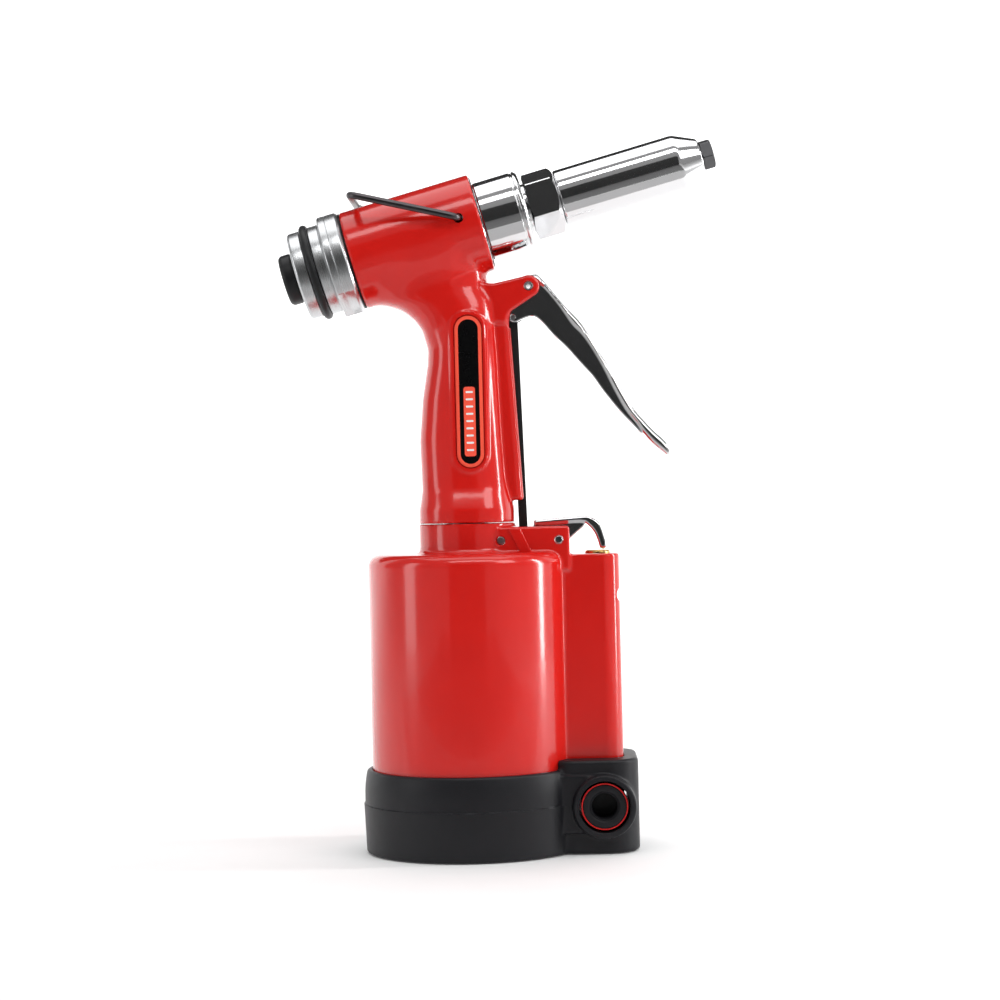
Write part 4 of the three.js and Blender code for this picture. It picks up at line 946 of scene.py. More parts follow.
def handle_field(x, y, z):
    back, front, half = grip_curves(z)
    u = (x - (back + front) / 2) / ((front - back) / 2)
    v = y / half
    level = np.maximum((np.abs(u) ** GRIP_POWER + np.abs(v) ** GRIP_POWER) ** (1 / GRIP_POWER), 1e-6)
    away = np.hypot(x - (back + front) / 2, y)
    grip = away * (1 - 1 / level)
    grip = np.maximum(grip, z - SEAM - 0.93 * GRIP_LENGTH)
    pad = np.maximum(label_distance(x, z, 1.7), np.abs(np.abs(y) - LABEL_FACE + 3.0) - 3.0)
    grip = smooth_union(grip, pad, 1.6)
    c, s = math.cos(HEAD_TILT), math.sin(HEAD_TILT)
    along = x * c + (z - HEAD_HEIGHT) * s
    above = -x * s + (z - HEAD_HEIGHT) * c
    tube = rounded_post(np.hypot(y, above), along, HEAD_RADIUS, HEAD_REAR, HEAD_FRONT, 0.9)
    drop = TRIGGER_LINK[1] - z
    across = x - drop * math.tan(RIDGE_LEAN)
    plan = box_distance(across, y, 9.9, 0, 10.0, 7.0, 3.4)
    ridge = pulled(plan, z - (SEAM + 9 + TRIGGER_LINK[1] + 5) / 2, (TRIGGER_LINK[1] - SEAM - 4) / 2, 1.4)
    px, pz = TRIGGER_PIVOT
    arm = outline_distance(
        x,
        z,
        [
            (px - 20, pz + 1.8),
            (px - 14.2, pz + 1.5),
            (px - 1.2, pz + 4.3),
            (px + 2.4, pz - 3.9),
            (px - 7.8, pz - 10.4),
            (px - 10, pz - 15),
            (px - 20, pz - 15),
        ],
    )
    arm = np.minimum(arm, np.hypot(x - px, z - pz) - 4.6)
    ears = pulled(arm, y, 8.5, 1.3)
    blend = 2.2 + 5.8 * np.clip((8.0 - x) / 12.0, 0.0, 1.0)
    shape = smooth_union(grip, tube, blend)
    shape = smooth_union(shape, ridge, 1.2)
    shape = smooth_union(shape, ears, 2.2)
    return np.maximum(shape, SEAM - z)


def handle_mesh():
    step = sizes().skin_step / MM
    lines = [
        span(edge("handle_casting", LOW, axis) - SKIN_ROOM, edge("handle_casting", HIGH, axis) + SKIN_ROOM,
             step)
        for axis in (X, Y, Z)
    ]
    base = skin("handle_skin", handle_field, *lines)
    px, pz = TRIGGER_PIVOT
    back = TRIGGER_LINK[0] - 6.2
    lean = math.tan(RIDGE_LEAN)
    channel = side_prism(
        "channel",
        [
            (back, TRIGGER_LINK[1] + 1),
            (back + lean * (TRIGGER_LINK[1] - SEAM - 4), SEAM + 4),
            (40, SEAM + 4),
            (40, TRIGGER_LINK[1] + 1),
        ],
        3.0,
    )
    slot = side_prism(
        "ear_slot",
        rounded([(back, TRIGGER_LINK[1] - 4.5, 2), (px + 12, TRIGGER_LINK[1] - 4.5), (px + 12, pz + 9),
                 (back, pz + 9, 2)]),
        5.6,
    )
    head_bore = turned("head_bore", [(0, -60), (17, -60), (17, 20), (0, 20)], 96, UPRIGHT_TO_HEAD)
    bail_hole = turned(
        "bail_hole", [(0, -30), (2.05, -30), (2.05, 30), (0, 30)], 32, HEAD_AXIS @ cross_place(BAIL_PIVOT)
    )
    tube_top = HEAD_HEIGHT - 26.3
    recess = rounded_run(LABEL_RADIUS + 0.45)
    floor = 14.4
    cuts = [
        head_bore,
        bail_hole,
        upright("tube_bore", [(0, SEAM - 5), (TUBE_HOLE, SEAM - 5), (TUBE_HOLE, tube_top), (0, tube_top)]),
        upright("oil_port", [(0, SEAM), (5, SEAM), (5, HEAD_HEIGHT - 15), (0, HEAD_HEIGHT - 15)], 0, 32),
        channel,
        slot,
        pin_cutter(TRIGGER_PIVOT, PIVOT_HOLE, 8.5),
        side_prism("recess_right", recess, 3.0, -floor - 3.0),
        side_prism("recess_left", recess, 3.0, floor + 3.0),
    ]
    return combined(base, cuts, "DIFFERENCE")


def rounded_run(radius):
    """The label's outline, a straight run with round ends."""
    x, z = LABEL_CENTRE
    steps = 24
    points = []
    for end, start in ((1, 0.0), (-1, math.pi)):
        for k in range(steps + 1):
            angle = start + math.pi * k / steps
            points.append((x + radius * math.cos(angle), z + end * LABEL_STRAIGHT + radius * math.sin(angle)))
    return points


# ----------------------------------------------------------------------- boot
HOUSING_HALF_WIDTH = 25.0
BOSS_FACE = 29.0
BOSS_RADIUS = 13.0


def boot_field(x, y, z):
    radial = np.hypot(x, y)
    ridge = 20.2
    below = 45.2 + 0.8 * np.clip(z / ridge, 0, 1)
    over = 45.5 - 1.2 * np.clip((z - ridge - 4) / 10, 0, 1) ** 2
    outer = np.where(z < ridge, below, over)
    wall = rounded_post(radial - outer + 45.0, z, 45.0, 0.0, 34.3, 0.9)
    middle = (BOOT_END + 30) / 2
    plan = box_distance(x, y, middle, 0, BOOT_END - middle, HOUSING_HALF_WIDTH, 12.5)
    housing = pulled(plan, z - BOOT_TOP / 2, BOOT_TOP / 2, 1.5)
    boss = pulled(np.hypot(x - VALVE_X, z - INLET_Z) - BOSS_RADIUS, y, BOSS_FACE, 1.0)
    pad_side = box_distance(x, z, 46.0, INLET_Z + 1.1, 10.0, BOSS_RADIUS - 1.1, 1.0)
    pad = pulled(pad_side, y, HOUSING_HALF_WIDTH + 1.4, 0.8)
    shape = smooth_union(wall, housing, 1.4)
    shape = smooth_union(shape, pad, 1.0)
    shape = smooth_union(shape, boss, 1.2)
    return np.maximum(shape, -z)


def boot_mesh():
    step = sizes().skin_step / MM
    base = skin(
        "boot_skin",
        boot_field,
        span(-48, BOOT_END + SKIN_ROOM, step),
        span(-48, 48, step),
        spans(
            (-SKIN_ROOM, 1.5, 0.5),
            (1.5, 18.5, 0.9),
            (18.5, 21.5, 0.3),
            (21.5, 32, 0.9),
            (32, BOOT_TOP + SKIN_ROOM, 0.5),
        ),
    )
    pocket = rounded([(5, -15.4), (COLUMN_END + 0.4, -15.4, 7.9), (COLUMN_END + 0.4, 15.4, 7.9), (5, 15.4)],
                     8)
    cuts = [
        upright("barrel_pocket", [(0, 3), (CYLINDER_RADIUS + 0.4, 3), (CYLINDER_RADIUS + 0.4, 45), (0, 45)],
                0, 120),
        prism("column_pocket", pocket, 3.0, 45.0),
        turned("boss_bore", [(0, -40), (21.6, -40), (10.6, -28.6), (10.6, 28.6), (21.6, 40), (0, 40)], 72,
               cross_place((VALVE_X, INLET_Z))),
    ]
    return combined(base, cuts, "DIFFERENCE")


# -------------------------------------------------------------- path and repeat trees
def geometry_tree(name, inputs):
    """An empty tree with named inputs of the given kinds and one geometry output."""
    tree = bpy.data.node_groups.new(name, "GeometryNodeTree")
    for label, kind in inputs:
        tree.interface.new_socket(label, in_out="INPUT", socket_type=kind)
    tree.interface.new_socket("Geometry", in_out="OUTPUT", socket_type="NodeSocketGeometry")
    return tree


def grown(name, tree, values, material):
    """Runs a geometry tree with its inputs set and returns the plain mesh."""
    owner = temporary(bpy.data.meshes.new(name))
    step = owner.modifiers.new("grow", "NODES")
    step.node_group = tree
    for item in tree.interface.items_tree:
        if item.item_type == "SOCKET" and item.in_out == "INPUT" and item.name in values:
            step[item.identifier] = values[item.name]
    owner.data.materials.append(material)
    mesh = baked(owner, name)
    if len(mesh.polygons) == 0:
        raise RuntimeError(f"{name}: the tree made nothing")
    return mesh


def closing(r, geometry, material):
    """Ends a tree in Realize Instances and Set Material."""
    real = r.node("GeometryNodeRealizeInstances", {}, {"Geometry": geometry})
    dressed = r.node("GeometryNodeSetMaterial", {}, {"Geometry": real, "Material": material})
    r.node("NodeGroupOutput", {}, {"Geometry": dressed})


def group_input(r):
    """The tree's inputs by name."""
    made = r.tree.nodes.new("NodeGroupInput")
    return {socket.name: Wire(r, socket) for socket in made.outputs if socket.name}


def bail_mesh(material):
    """The hanger wire, drawn along its path in the head's own frame and filleted at its bends."""
    wire = sizes().bail_wire / MM
    side = HEAD_RADIUS + 1.2 + wire
    reach, inside, lift = 45.8, 18.2, math.radians(28.5)
    route = [(0, -inside), (0, -side), (-reach, -side), (-reach, side), (0, side), (0, inside)]
    bend = 3.84
    tree = geometry_tree("bail_wire_path", [("Wire radius", "NodeSocketFloat"), ("Bend", "NodeSocketFloat")])
    r = Recipe(tree)
    given = group_input(r)
    turn = HEAD_AXIS @ Matrix.Translation((BAIL_PIVOT[0], 0, BAIL_PIVOT[1])) @ Matrix.Rotation(lift, 4, "Y")
    stations = [turn @ Vector((x, y, 0)) * MM for x, y in route]
    runs = []
    for start, end in zip(stations, stations[1:]):
        runs.append(r.node("GeometryNodeCurvePrimitiveLine", {}, {"Start": start, "End": end}))
    joined = r.tree.nodes.new("GeometryNodeJoinGeometry")
    points = [r.node("GeometryNodeCurveToPoints", {"mode": "COUNT"},
                     {"Curve": run, "Count": 2}) for run in runs]
    for point in reversed(points):
        r.tree.links.new(point.socket, joined.inputs[0])
    spots = Wire(r, joined.outputs[0])
    merged = r.node("GeometryNodeMergeByDistance", {}, {"Geometry": spots, "Distance": 0.0001})
    path = r.node("GeometryNodePointsToCurves", {}, {"Points": merged})
    corners = {"Curve": path, "Count": 10, "Radius": given["Bend"], "Limit Radius": True}
    eased = r.node("GeometryNodeFilletCurve", {"mode": "POLY"}, corners)
    ring = r.node("GeometryNodeCurvePrimitiveCircle", {}, {"Resolution": 20, "Radius": given["Wire radius"]})
    tube = r.node("GeometryNodeCurveToMesh", {}, {"Curve": eased, "Profile Curve": ring, "Fill Caps": True})
    closing(r, tube, material)
    values = {"Wire radius": wire * MM, "Bend": bend * MM}
    return tidy(grown("hanger_bail_wire", tree, values, material))


def repeated(name, item, count, step, material):
    """Copies of a mesh object in a straight row."""
    inputs = [("Item", "NodeSocketObject"), ("Count", "NodeSocketInt"), ("Step", "NodeSocketVector")]
    tree = geometry_tree(name + "_row", inputs)
    r = Recipe(tree)
    given = group_input(r)
    row = r.node("GeometryNodeMeshLine", {"mode": "OFFSET"},
                 {"Count": given["Count"], "Offset": given["Step"]})
    one = r.node("GeometryNodeObjectInfo", {"transform_space": "ORIGINAL"}, {"Object": given["Item"]},
                 out="Geometry")
    copies = r.node("GeometryNodeInstanceOnPoints", {}, {"Points": row, "Instance": one})
    closing(r, copies, material)
    source = temporary(item)
    mesh = grown(name, tree, {"Item": source, "Count": count, "Step": step}, material)
    bpy.data.objects.remove(source)
    shade(mesh)
    return mesh


def merged_meshes(name, parts):
    """Several finished meshes as one, each keeping its own material."""
    work = bmesh.new()
    materials = []
    for mesh, material in parts:
        if material not in materials:
            materials.append(material)
        for polygon in mesh.polygons:
            polygon.material_index = materials.index(material)
        work.from_mesh(mesh)
    whole = bpy.data.meshes.new(name)
    work.to_mesh(whole)
    work.free()
    shade(whole)
    return whole, materials


# ------------------------------------------------------------------- operators
class RIVETGUN_OT_cylinder(bpy.types.Operator):
    """Makes the painted power cylinder with its valve column and rocker bracket"""

    bl_idname = "rivet_gun.cylinder"
    bl_label = "Power Cylinder"

    def execute(self, context):
        piece("cylinder_casting", cylinder_mesh(), "tool_body", red_enamel(), "air_cylinder")
        return {"FINISHED"}


class RIVETGUN_OT_handle(bpy.types.Operator):
    """Makes the painted handle and head casting"""

    bl_idname = "rivet_gun.handle"
    bl_label = "Handle Casting"

    def execute(self, context):
        piece("grip_and_head_casting", handle_mesh(), "tool_body", red_enamel(), "handle_casting")
        return {"FINISHED"}


class RIVETGUN_OT_boot(bpy.types.Operator):
    """Makes the black base boot with its valve housing"""

    bl_idname = "rivet_gun.boot"
    bl_label = "Base Boot"

    def execute(self, context):
        piece("boot_moulding", boot_mesh(), "tool_body", black_moulding(), "base_boot")
        return {"FINISHED"}


class RIVETGUN_OT_labels(bpy.types.Operator):
    """Makes the two grip labels: a black field, a bright border and plain tick marks"""

    bl_idname = "rivet_gun.labels"
    bl_label = "Grip Labels"

    def execute(self, context):
        for name, node, side in (("label_plate_right", "label_right", -1),
                                 ("label_plate_left", "label_left", 1)):
            mesh, materials = self.label(side)
            piece(name, mesh, "tool_body", materials, node)
        return {"FINISHED"}

    def label(self, side):
        inner = 14.7
        border_width = 1.45
        thickness = 0.8
        outer = rounded_run(LABEL_RADIUS)
        field = rounded_run(LABEL_RADIUS - border_width)
        plate = bevelled(side_prism("border", outer, thickness / 2, side * (inner + thickness / 2)), 0.2)
        well = side_prism("well", field, 1.0, side * (inner + thickness + 0.65))
        border = combined(plate, [well], "DIFFERENCE")
        face = side * (inner + 0.46)
        black = side_prism("field", rounded_run(LABEL_RADIUS - border_width - 0.02), 0.03, face)
        x, z = LABEL_CENTRE
        bar_top, bar_foot = z + 2.0, z - LABEL_STRAIGHT - 1.0
        red = side_prism(
            "stripe",
            rounded([(x - 2.4, bar_foot, 1.2), (x + 2.4, bar_foot, 1.2), (x + 2.4, bar_top, 1.2),
                     (x - 2.4, bar_top, 1.2)]),
            0.05,
            face + side * 0.08,
        )
        tick = side_prism(
            "tick",
            rounded([(x - 1.5, z - 24.6, 0.4), (x + 1.5, z - 24.6, 0.4), (x + 1.5, z - 23.8, 0.4),
                     (x - 1.5, z - 23.8, 0.4)]),
            0.04,
            face + side * 0.16,
        )
        ticks = repeated("ticks", tick, sizes().tick_count, (0, 0, sizes().tick_spacing), label_white())
        parts = [(border, label_border()), (black, label_black()), (red, label_border()),
                 (ticks, label_white())]
        return merged_meshes("label", parts)


class RIVETGUN_OT_trigger(bpy.types.Operator):
    """Makes the polished trigger lever with its broad finger plate, and its pins"""

    bl_idname = "rivet_gun.trigger"
    bl_label = "Trigger"

    FRONT = (
        (1.2, 5.0), (3.9, 5.1), (7.6, 0.9), (13.1, -6.1), (17.0, -10.6), (21.7, -15.8), (25.4, -21.7),
        (28.5, -27.2),
        (33.8, -35.7), (38.2, -44.2), (43.4, -52.8), (50.8, -61.3), (55.3, -65.6), (57.4, -68.4),
        (57.9, -70.2),
    )
    PLATE_BACK = (
        (57.3, -71.6), (56.0, -71.8), (50.4, -67.0), (46.6, -62.6), (43.5, -57.8), (39.1, -52.0),
        (34.2, -42.8),
        (29.9, -33.7), (25.0, -25.0), (21.2, -19.7), (17.5, -15.8), (12.5, -8.2), (5.6, 0.2), (1.0, 2.4),
    )
    WEB = (
        (1.2, 4.6), (4.4, 3.6), (13.0, -7.2), (18.6, -13.8), (26.4, -26.0), (34.8, -41.0), (40.6, -52.4),
        (46.8, -61.4),
        (45.7, -62.7), (41.6, -58.1), (36.6, -52.6), (30.3, -44.4), (26.0, -38.1), (20.9, -32.3),
        (15.3, -25.7),
        (10.3, -20.8), (6.6, -16.4), (4.2, -13.9), (2.4, -12.7), (0.3, -12.5), (-3.3, -13.7), (-5.6, -14.8),
        (-7.2, -14.6), (-8.6, -13.6), (-8.7, -12.0), (-6.6, -7.0), (-4.2, -1.6), (-3.0, 3.0), (-1.0, 4.7),
    )

    def execute(self, context):
        x, z = TRIGGER_PIVOT
        lever = lever_mesh("lever", TRIGGER_PIVOT, self.FRONT + self.PLATE_BACK, self.WEB, 6.3, 5.2, 2.1,
                           0.42)
        tail_x, tail_z = TRIGGER_LINK
        reach = ((-5, -5), (3.6, -5), (3.6, 4.4), (-5, 4.4))
        fork = side_prism("fork", [(tail_x + along, tail_z + above) for along, above in reach], 2.4)
        cuts = [fork, pin_cutter(TRIGGER_PIVOT, PIVOT_HOLE, 5.2, 0.2),
                pin_cutter(TRIGGER_LINK, LINK_HOLE, 5.2, 0.15)]
        polished = combined(lever, cuts, "DIFFERENCE")
        piece("trigger_lever_polished", polished, "trigger_lever", polished_chrome(), "trigger")
        roll = turned(
            "roll", [(0.95, -8.5, 0.1), (1.6, -8.7, 0.25), (1.75, -8.3), (1.75, 8.3), (1.6, 8.7, 0.25),
                     (0.95, 8.5, 0.1)],
            48, cross_place(TRIGGER_PIVOT), True,
        )
        split = side_prism("split", [(x, z - 0.3), (x + 3, z - 0.3), (x + 3, z + 0.3), (x, z + 0.3)], 12)
        piece("trigger_roll_pin", combined(roll, [split], "DIFFERENCE"), "tool_body", ground_steel(),
              "trigger_pin")
        piece("trigger_tail_pin", headed_pin(TRIGGER_LINK, 1.0, 5.1), "trigger_lever", ground_steel(),
              "trigger_link_pin")
        return {"FINISHED"}


def smoothed(points, steps=3, sharp=38.0):
    """A closed outline through the points, curved except at sharp corners."""
    count = len(points)
    spots = [Vector(point) for point in points]
    corner = []
    for i in range(count):
        before = spots[i] - spots[i - 1]
        after = spots[(i + 1) % count] - spots[i]
        corner.append(before.angle(after) > math.radians(sharp))
    made = []
    for i in range(count):
        here, after = spots[i], spots[(i + 1) % count]
        lead = spots[i - 1] if not corner[i] else here * 2 - after
        tail = spots[(i + 2) % count] if not corner[(i + 1) % count] else after * 2 - here
        for k in range(steps):
            t = k / steps
            made.append(
                0.5
                * (
                    2 * here
                    + (after - lead) * t
                    + (2 * lead - 5 * here + 4 * after - tail) * t**2
                    + (3 * here - lead - 3 * after + tail) * t**3
                )
            )
    return made


def headed_pin(at, radius, half):
    """A plain pin across the tool with crowned ends."""
    crown = 0.3
    corners = [
        (0, -half), (radius - crown, -half, 0.1), (radius, -half + crown, 0.2),
        (radius, half - crown, 0.2), (radius - crown, half, 0.1), (0, half),
    ]
    return turned("pin", corners, 40, cross_place(at))


class RIVETGUN_OT_linkage(bpy.types.Operator):
    """Makes the black link bar, the polished rocker and their pins"""

    bl_idname = "rivet_gun.linkage"
    bl_label = "Link Bar and Rocker"

    PLATE = (
        (-10.0, 7.5), (-9.9, 8.2), (0.0, 8.9), (8.7, 9.4), (12.7, 9.3), (16.7, 7.0), (18.5, 3.9),
        (20.1, -1.8), (19.8, -3.8),
        (18.6, -4.6), (17.2, -4.0), (16.1, -0.2), (14.8, 2.8), (12.6, 5.4), (9.5, 7.0), (-1.0, 6.5),
        (-9.4, 6.2),
    )
    WEB = (
        (-10.0, 7.6), (9.5, 8.6), (11.2, 6.6), (10.4, 5.0), (5.2, 0.6), (3.4, -1.8), (1.6, -3.2),
        (-1.0, -3.5),
        (-12.5, -3.0), (-15.6, -2.8), (-16.8, -1.2), (-16.8, 0.6), (-15.8, 2.0), (-13.2, 2.6), (-10.8, 4.2),
    )

    def execute(self, context):
        x, z = ROCKER_PIVOT
        lever = lever_mesh("lever", ROCKER_PIVOT, self.PLATE, self.WEB, 4.2, 3.8, 1.1, 0.28)
        fork = side_prism("fork", [(x - 20, z - 6), (x - 9.9, z - 6), (x - 9.9, z + 12), (x - 20, z + 12)],
                          2.4)
        cuts = [fork, pin_cutter(ROCKER_PIVOT, ROCKER_HOLE, 3.9, 0.2),
                pin_cutter(ROCKER_LINK, LINK_HOLE, 3.9, 0.15)]
        polished = combined(lever, cuts, "DIFFERENCE")
        piece("rocker_polished", polished, "rocker", polished_chrome(), "rocker_lever")
        piece("rocker_pivot_pin", headed_pin(ROCKER_PIVOT, 1.7, 16.1), "tool_body", polished_chrome(),
              "rocker_pin")
        piece("rocker_fork_pin", headed_pin(ROCKER_LINK, 1.0, 4.2), "rocker", ground_steel(),
              "rocker_link_pin")
        piece("neck_locking_pin", headed_pin(NECK_LOCK, 1.65, 16.0), "tool_body", ground_steel(),
              "neck_lock_pin")
        piece("link_bar_black", self.link(), "link", link_paint(), "link_bar")
        return {"FINISHED"}

    def link(self):
        top, foot = Vector(TRIGGER_LINK), Vector(ROCKER_LINK)
        along = (foot - top).normalized()
        side = Vector((-along.y, along.x))

        def at(down, out):
            return top + along * down + side * out

        length = (foot - top).length
        outline = []
        for k in range(13):
            angle = math.pi * k / 12
            outline.append(at(-1.8 * math.sin(angle), 1.8 * math.cos(angle)))
        outline.append(at(length - 6, -1.8))
        for k in range(13):
            angle = math.pi * k / 12
            outline.append(at(length + 2.4 * math.sin(angle), -2.4 * math.cos(angle)))
        outline.append(at(length - 6, 1.8))
        bar = bevelled(side_prism("link", [tuple(point) for point in outline], 2.0), 0.35)
        cuts = [pin_cutter(TRIGGER_LINK, LINK_HOLE, 2.0, 0.15), pin_cutter(ROCKER_LINK, 1.45, 2.0, 0.15)]
        return evened(combined(bar, cuts, "DIFFERENCE"))


class RIVETGUN_OT_bail(bpy.types.Operator):
    """Makes the dark wire hanger over the head"""

    bl_idname = "rivet_gun.bail"
    bl_label = "Hanger Bail"

    def execute(self, context):
        piece("hanger_wire", bail_mesh(dark_wire()), "bail", dark_wire(), "hanger_bail")
        return {"FINISHED"}


def head_turned(name, corners, segments=144):
    """A ring-shaped piece turned about the head's axis."""
    return turned(name, corners, segments, UPRIGHT_TO_HEAD, True)


END_CAP_FRONT = HEAD_REAR - 0.65
END_CAP_REAR = END_CAP_FRONT - 23.0
COLLAR_START = HEAD_FRONT + 0.65
COLLAR_END = COLLAR_START + 19.1
NUT_START = COLLAR_END + 1.2
NUT_END = NUT_START + 13.1
SLEEVE_START = NUT_END + 0.3
CONE_START = SLEEVE_START + 51.9
CONE_END = CONE_START + 9.8
TIP_END = CONE_END + 5.1


def hex_mesh(name, corner_radius, low, high, turn, edge_round, chamfer, bore):
    """A hexagon on the head's axis with eased corners, chamfered ends and a bore."""
    angles = [math.radians(60 * k + turn) for k in range(6)]
    corners = [
        (corner_radius * math.cos(angle), corner_radius * math.sin(angle), edge_round) for angle in angles
    ]
    outline = rounded(corners, 4)
    body = prism(name, outline, low, high, UPRIGHT_TO_HEAD)
    flat = corner_radius * math.cos(math.radians(30))
    shell = turned(
        "shell",
        [
            (0, low),
            (flat * 0.985, low, 0.2),
            (corner_radius + 0.3, low + chamfer * 0.5, 0.2),
            (corner_radius + 0.3, high - chamfer, 0.2),
            (flat * 0.97, high, 0.25),
            (0, high),
        ],
        120,
        UPRIGHT_TO_HEAD,
    )
    body = combined(body, [shell], "INTERSECT")
    reach = [(0, low - 5), (bore, low - 5), (bore, high + 0.01), (bore, high + 5), (0, high + 5)]
    mesh = combined(body, [turned("bore", reach, 64, UPRIGHT_TO_HEAD)], "DIFFERENCE")
    return evened(bevelled(mesh, 0.14, 2, 25.0), 50.0)


class RIVETGUN_OT_front_train(bpy.types.Operator):
    """Makes the polished collar, lock nut and nose sleeve, the tip and the front gasket"""

    bl_idname = "rivet_gun.front_train"
    bl_label = "Front Collar and Nose"

    def execute(self, context):
        rod_bore, spigot = 7.25, 16.7
        collar = head_turned(
            "collar",
            [
                (rod_bore, HEAD_FRONT - 8), (spigot, HEAD_FRONT - 8, 0.4), (spigot, HEAD_FRONT),
                (16.1, COLLAR_START, 0.2),
                (16.6, COLLAR_START + 0.5, 0.3), (16.6, COLLAR_END - 3.3, 0.2), (16.2, COLLAR_END - 3.0, 0.2),
                (16.2, COLLAR_END - 2.4, 0.2), (16.6, COLLAR_END - 2.1, 0.2), (16.6, COLLAR_END - 1.2, 0.6),
                (15.4, COLLAR_END, 0.5), (10.4, COLLAR_END, 0.2), (10.4, NUT_END - 1, 0.3),
                (9.15, NUT_END - 1),
                (9.15, NUT_END - 15.7), (rod_bore, NUT_END - 15.7),
            ],
        )
        piece("front_collar_polished", collar, "tool_body", polished_chrome(), "front_collar")
        nut = hex_mesh("nut", 14.43, NUT_START, NUT_END, 24.2 + 90, 0.45, 1.9, 10.7)
        piece("lock_nut_polished", nut, "tool_body", polished_chrome(), "front_lock_nut")
        sleeve = head_turned(
            "sleeve",
            [
                (9.4, SLEEVE_START), (11.5, SLEEVE_START, 0.2), (12.0, SLEEVE_START + 0.5, 0.4),
                (12.0, CONE_START, 1.2),
                (7.7, CONE_END - 0.4, 0.5), (7.1, CONE_END, 0.4), (4.6, CONE_END), (4.6, CONE_START + 1),
                (9.4, CONE_START - 4),
            ],
        )
        piece("nose_sleeve_polished", sleeve, "tool_body", polished_chrome(), "nose_sleeve")
        tip = hex_mesh("tip", 6.5, CONE_END + 0.3, TIP_END, 15 + 90, 0.3, 0.9, 1.9)
        stem = head_turned(
            "stem", [(1.9, CONE_START - 2), (4.3, CONE_START - 2, 0.3), (4.3, CONE_END + 1.5),
                     (1.9, CONE_END + 1.5)], 48
        )
        piece("nosepiece_tip", combined(tip, [stem], "UNION"), "tool_body", blackened_steel(), "nosepiece")
        gasket = head_turned(
            "gasket", [(17.4, HEAD_FRONT + 0.15), (19.3, HEAD_FRONT + 0.15, 0.1),
                       (19.3, HEAD_FRONT + 0.5, 0.1), (17.4, HEAD_FRONT + 0.5)]
        )
        piece("front_gasket_ring", gasket, "tool_body", black_rubber(), "front_gasket")
        return {"FINISHED"}


class RIVETGUN_OT_rear_cap(bpy.types.Operator):
    """Makes the turned rear cap with its wrench flats, the rubber ring and the outlet"""

    bl_idname = "rivet_gun.rear_cap"
    bl_label = "Rear Cap"

    def execute(self, context):
        rear, front = END_CAP_REAR, END_CAP_FRONT
        ring = rear + 7.3
        cap = head_turned(
            "cap",
            [
                (5.6, rear + 8), (8.8, rear + 8), (8.8, rear + 0.6), (11.0, rear + 0.6), (11.0, rear, 0.1),
                (17.7, rear, 0.4), (18.5, rear + 0.8, 0.5),
                (18.5, ring - 2.0, 0.3), (16.5, ring - 2.0, 0.4), (16.5, ring + 2.0, 0.4),
                (18.9, ring + 2.0, 0.3),
                (18.9, ring + 6.0, 0.15), (18.6, ring + 6.3, 0.15), (18.9, ring + 6.6, 0.15),
                (18.9, front - 9.0, 0.3),
                (21.2, front - 9.0, 0.3), (21.6, front - 8.6, 0.3), (21.6, front - 5.9, 0.1),
                (21.4, front - 5.7, 0.1),
                (21.6, front - 5.5, 0.1), (21.6, front - 1.2, 0.4), (20.4, front, 0.3), (16.7, front),
                (16.7, HEAD_REAR + 6, 0.3),
                (5.6, HEAD_REAR + 6),
            ],
        )
        flats = []
        for angle in (68.5, 248.5):
            turn = HEAD_AXIS @ Matrix.Rotation(math.radians(angle - 90), 4, "X")
            box = [(front - 9.5, -30), (front - 1.6, -30), (front - 1.6, 30), (front - 9.5, 30)]
            flats.append(prism("flat", box, -40, -18.9, turn))
        piece("rear_cap_turned", combined(cap, flats, "DIFFERENCE"), "tool_body", turned_aluminium(),
              "rear_end_cap")
        cord = []
        for k in range(24):
            angle = 2 * math.pi * k / 24
            cord.append((18.6 + 1.8 * math.cos(angle), ring + 1.8 * math.sin(angle)))
        piece("rubber_bumper_ring", head_turned("ring", cord), "tool_body", black_rubber(),
              "rear_bumper_ring")
        outlet = head_turned(
            "outlet",
            [
                (6.0, rear - 6.3, 0.4), (9.8, rear - 6.3, 0.6), (10.7, rear - 5.0, 0.5),
                (10.7, rear - 1.4, 0.2),
                (10.4, rear - 1.2, 0.2), (10.4, rear - 0.6, 0.2), (10.6, rear + 0.3, 0.1),
                (8.5, rear + 0.3), (8.5, rear + 7.4),
                (5.0, rear + 7.4), (5.0, rear - 5.3, 0.4),
            ],
        )
        piece("mandrel_outlet_knob", outlet, "tool_body", black_rubber(), "mandrel_outlet")
        gasket = head_turned(
            "gasket", [(17.4, HEAD_REAR - 0.5), (20.6, HEAD_REAR - 0.5, 0.1), (20.6, HEAD_REAR - 0.15, 0.1),
                       (17.4, HEAD_REAR - 0.15)]
        )
        piece("rear_gasket_ring", gasket, "tool_body", black_rubber(), "rear_gasket")
        return {"FINISHED"}


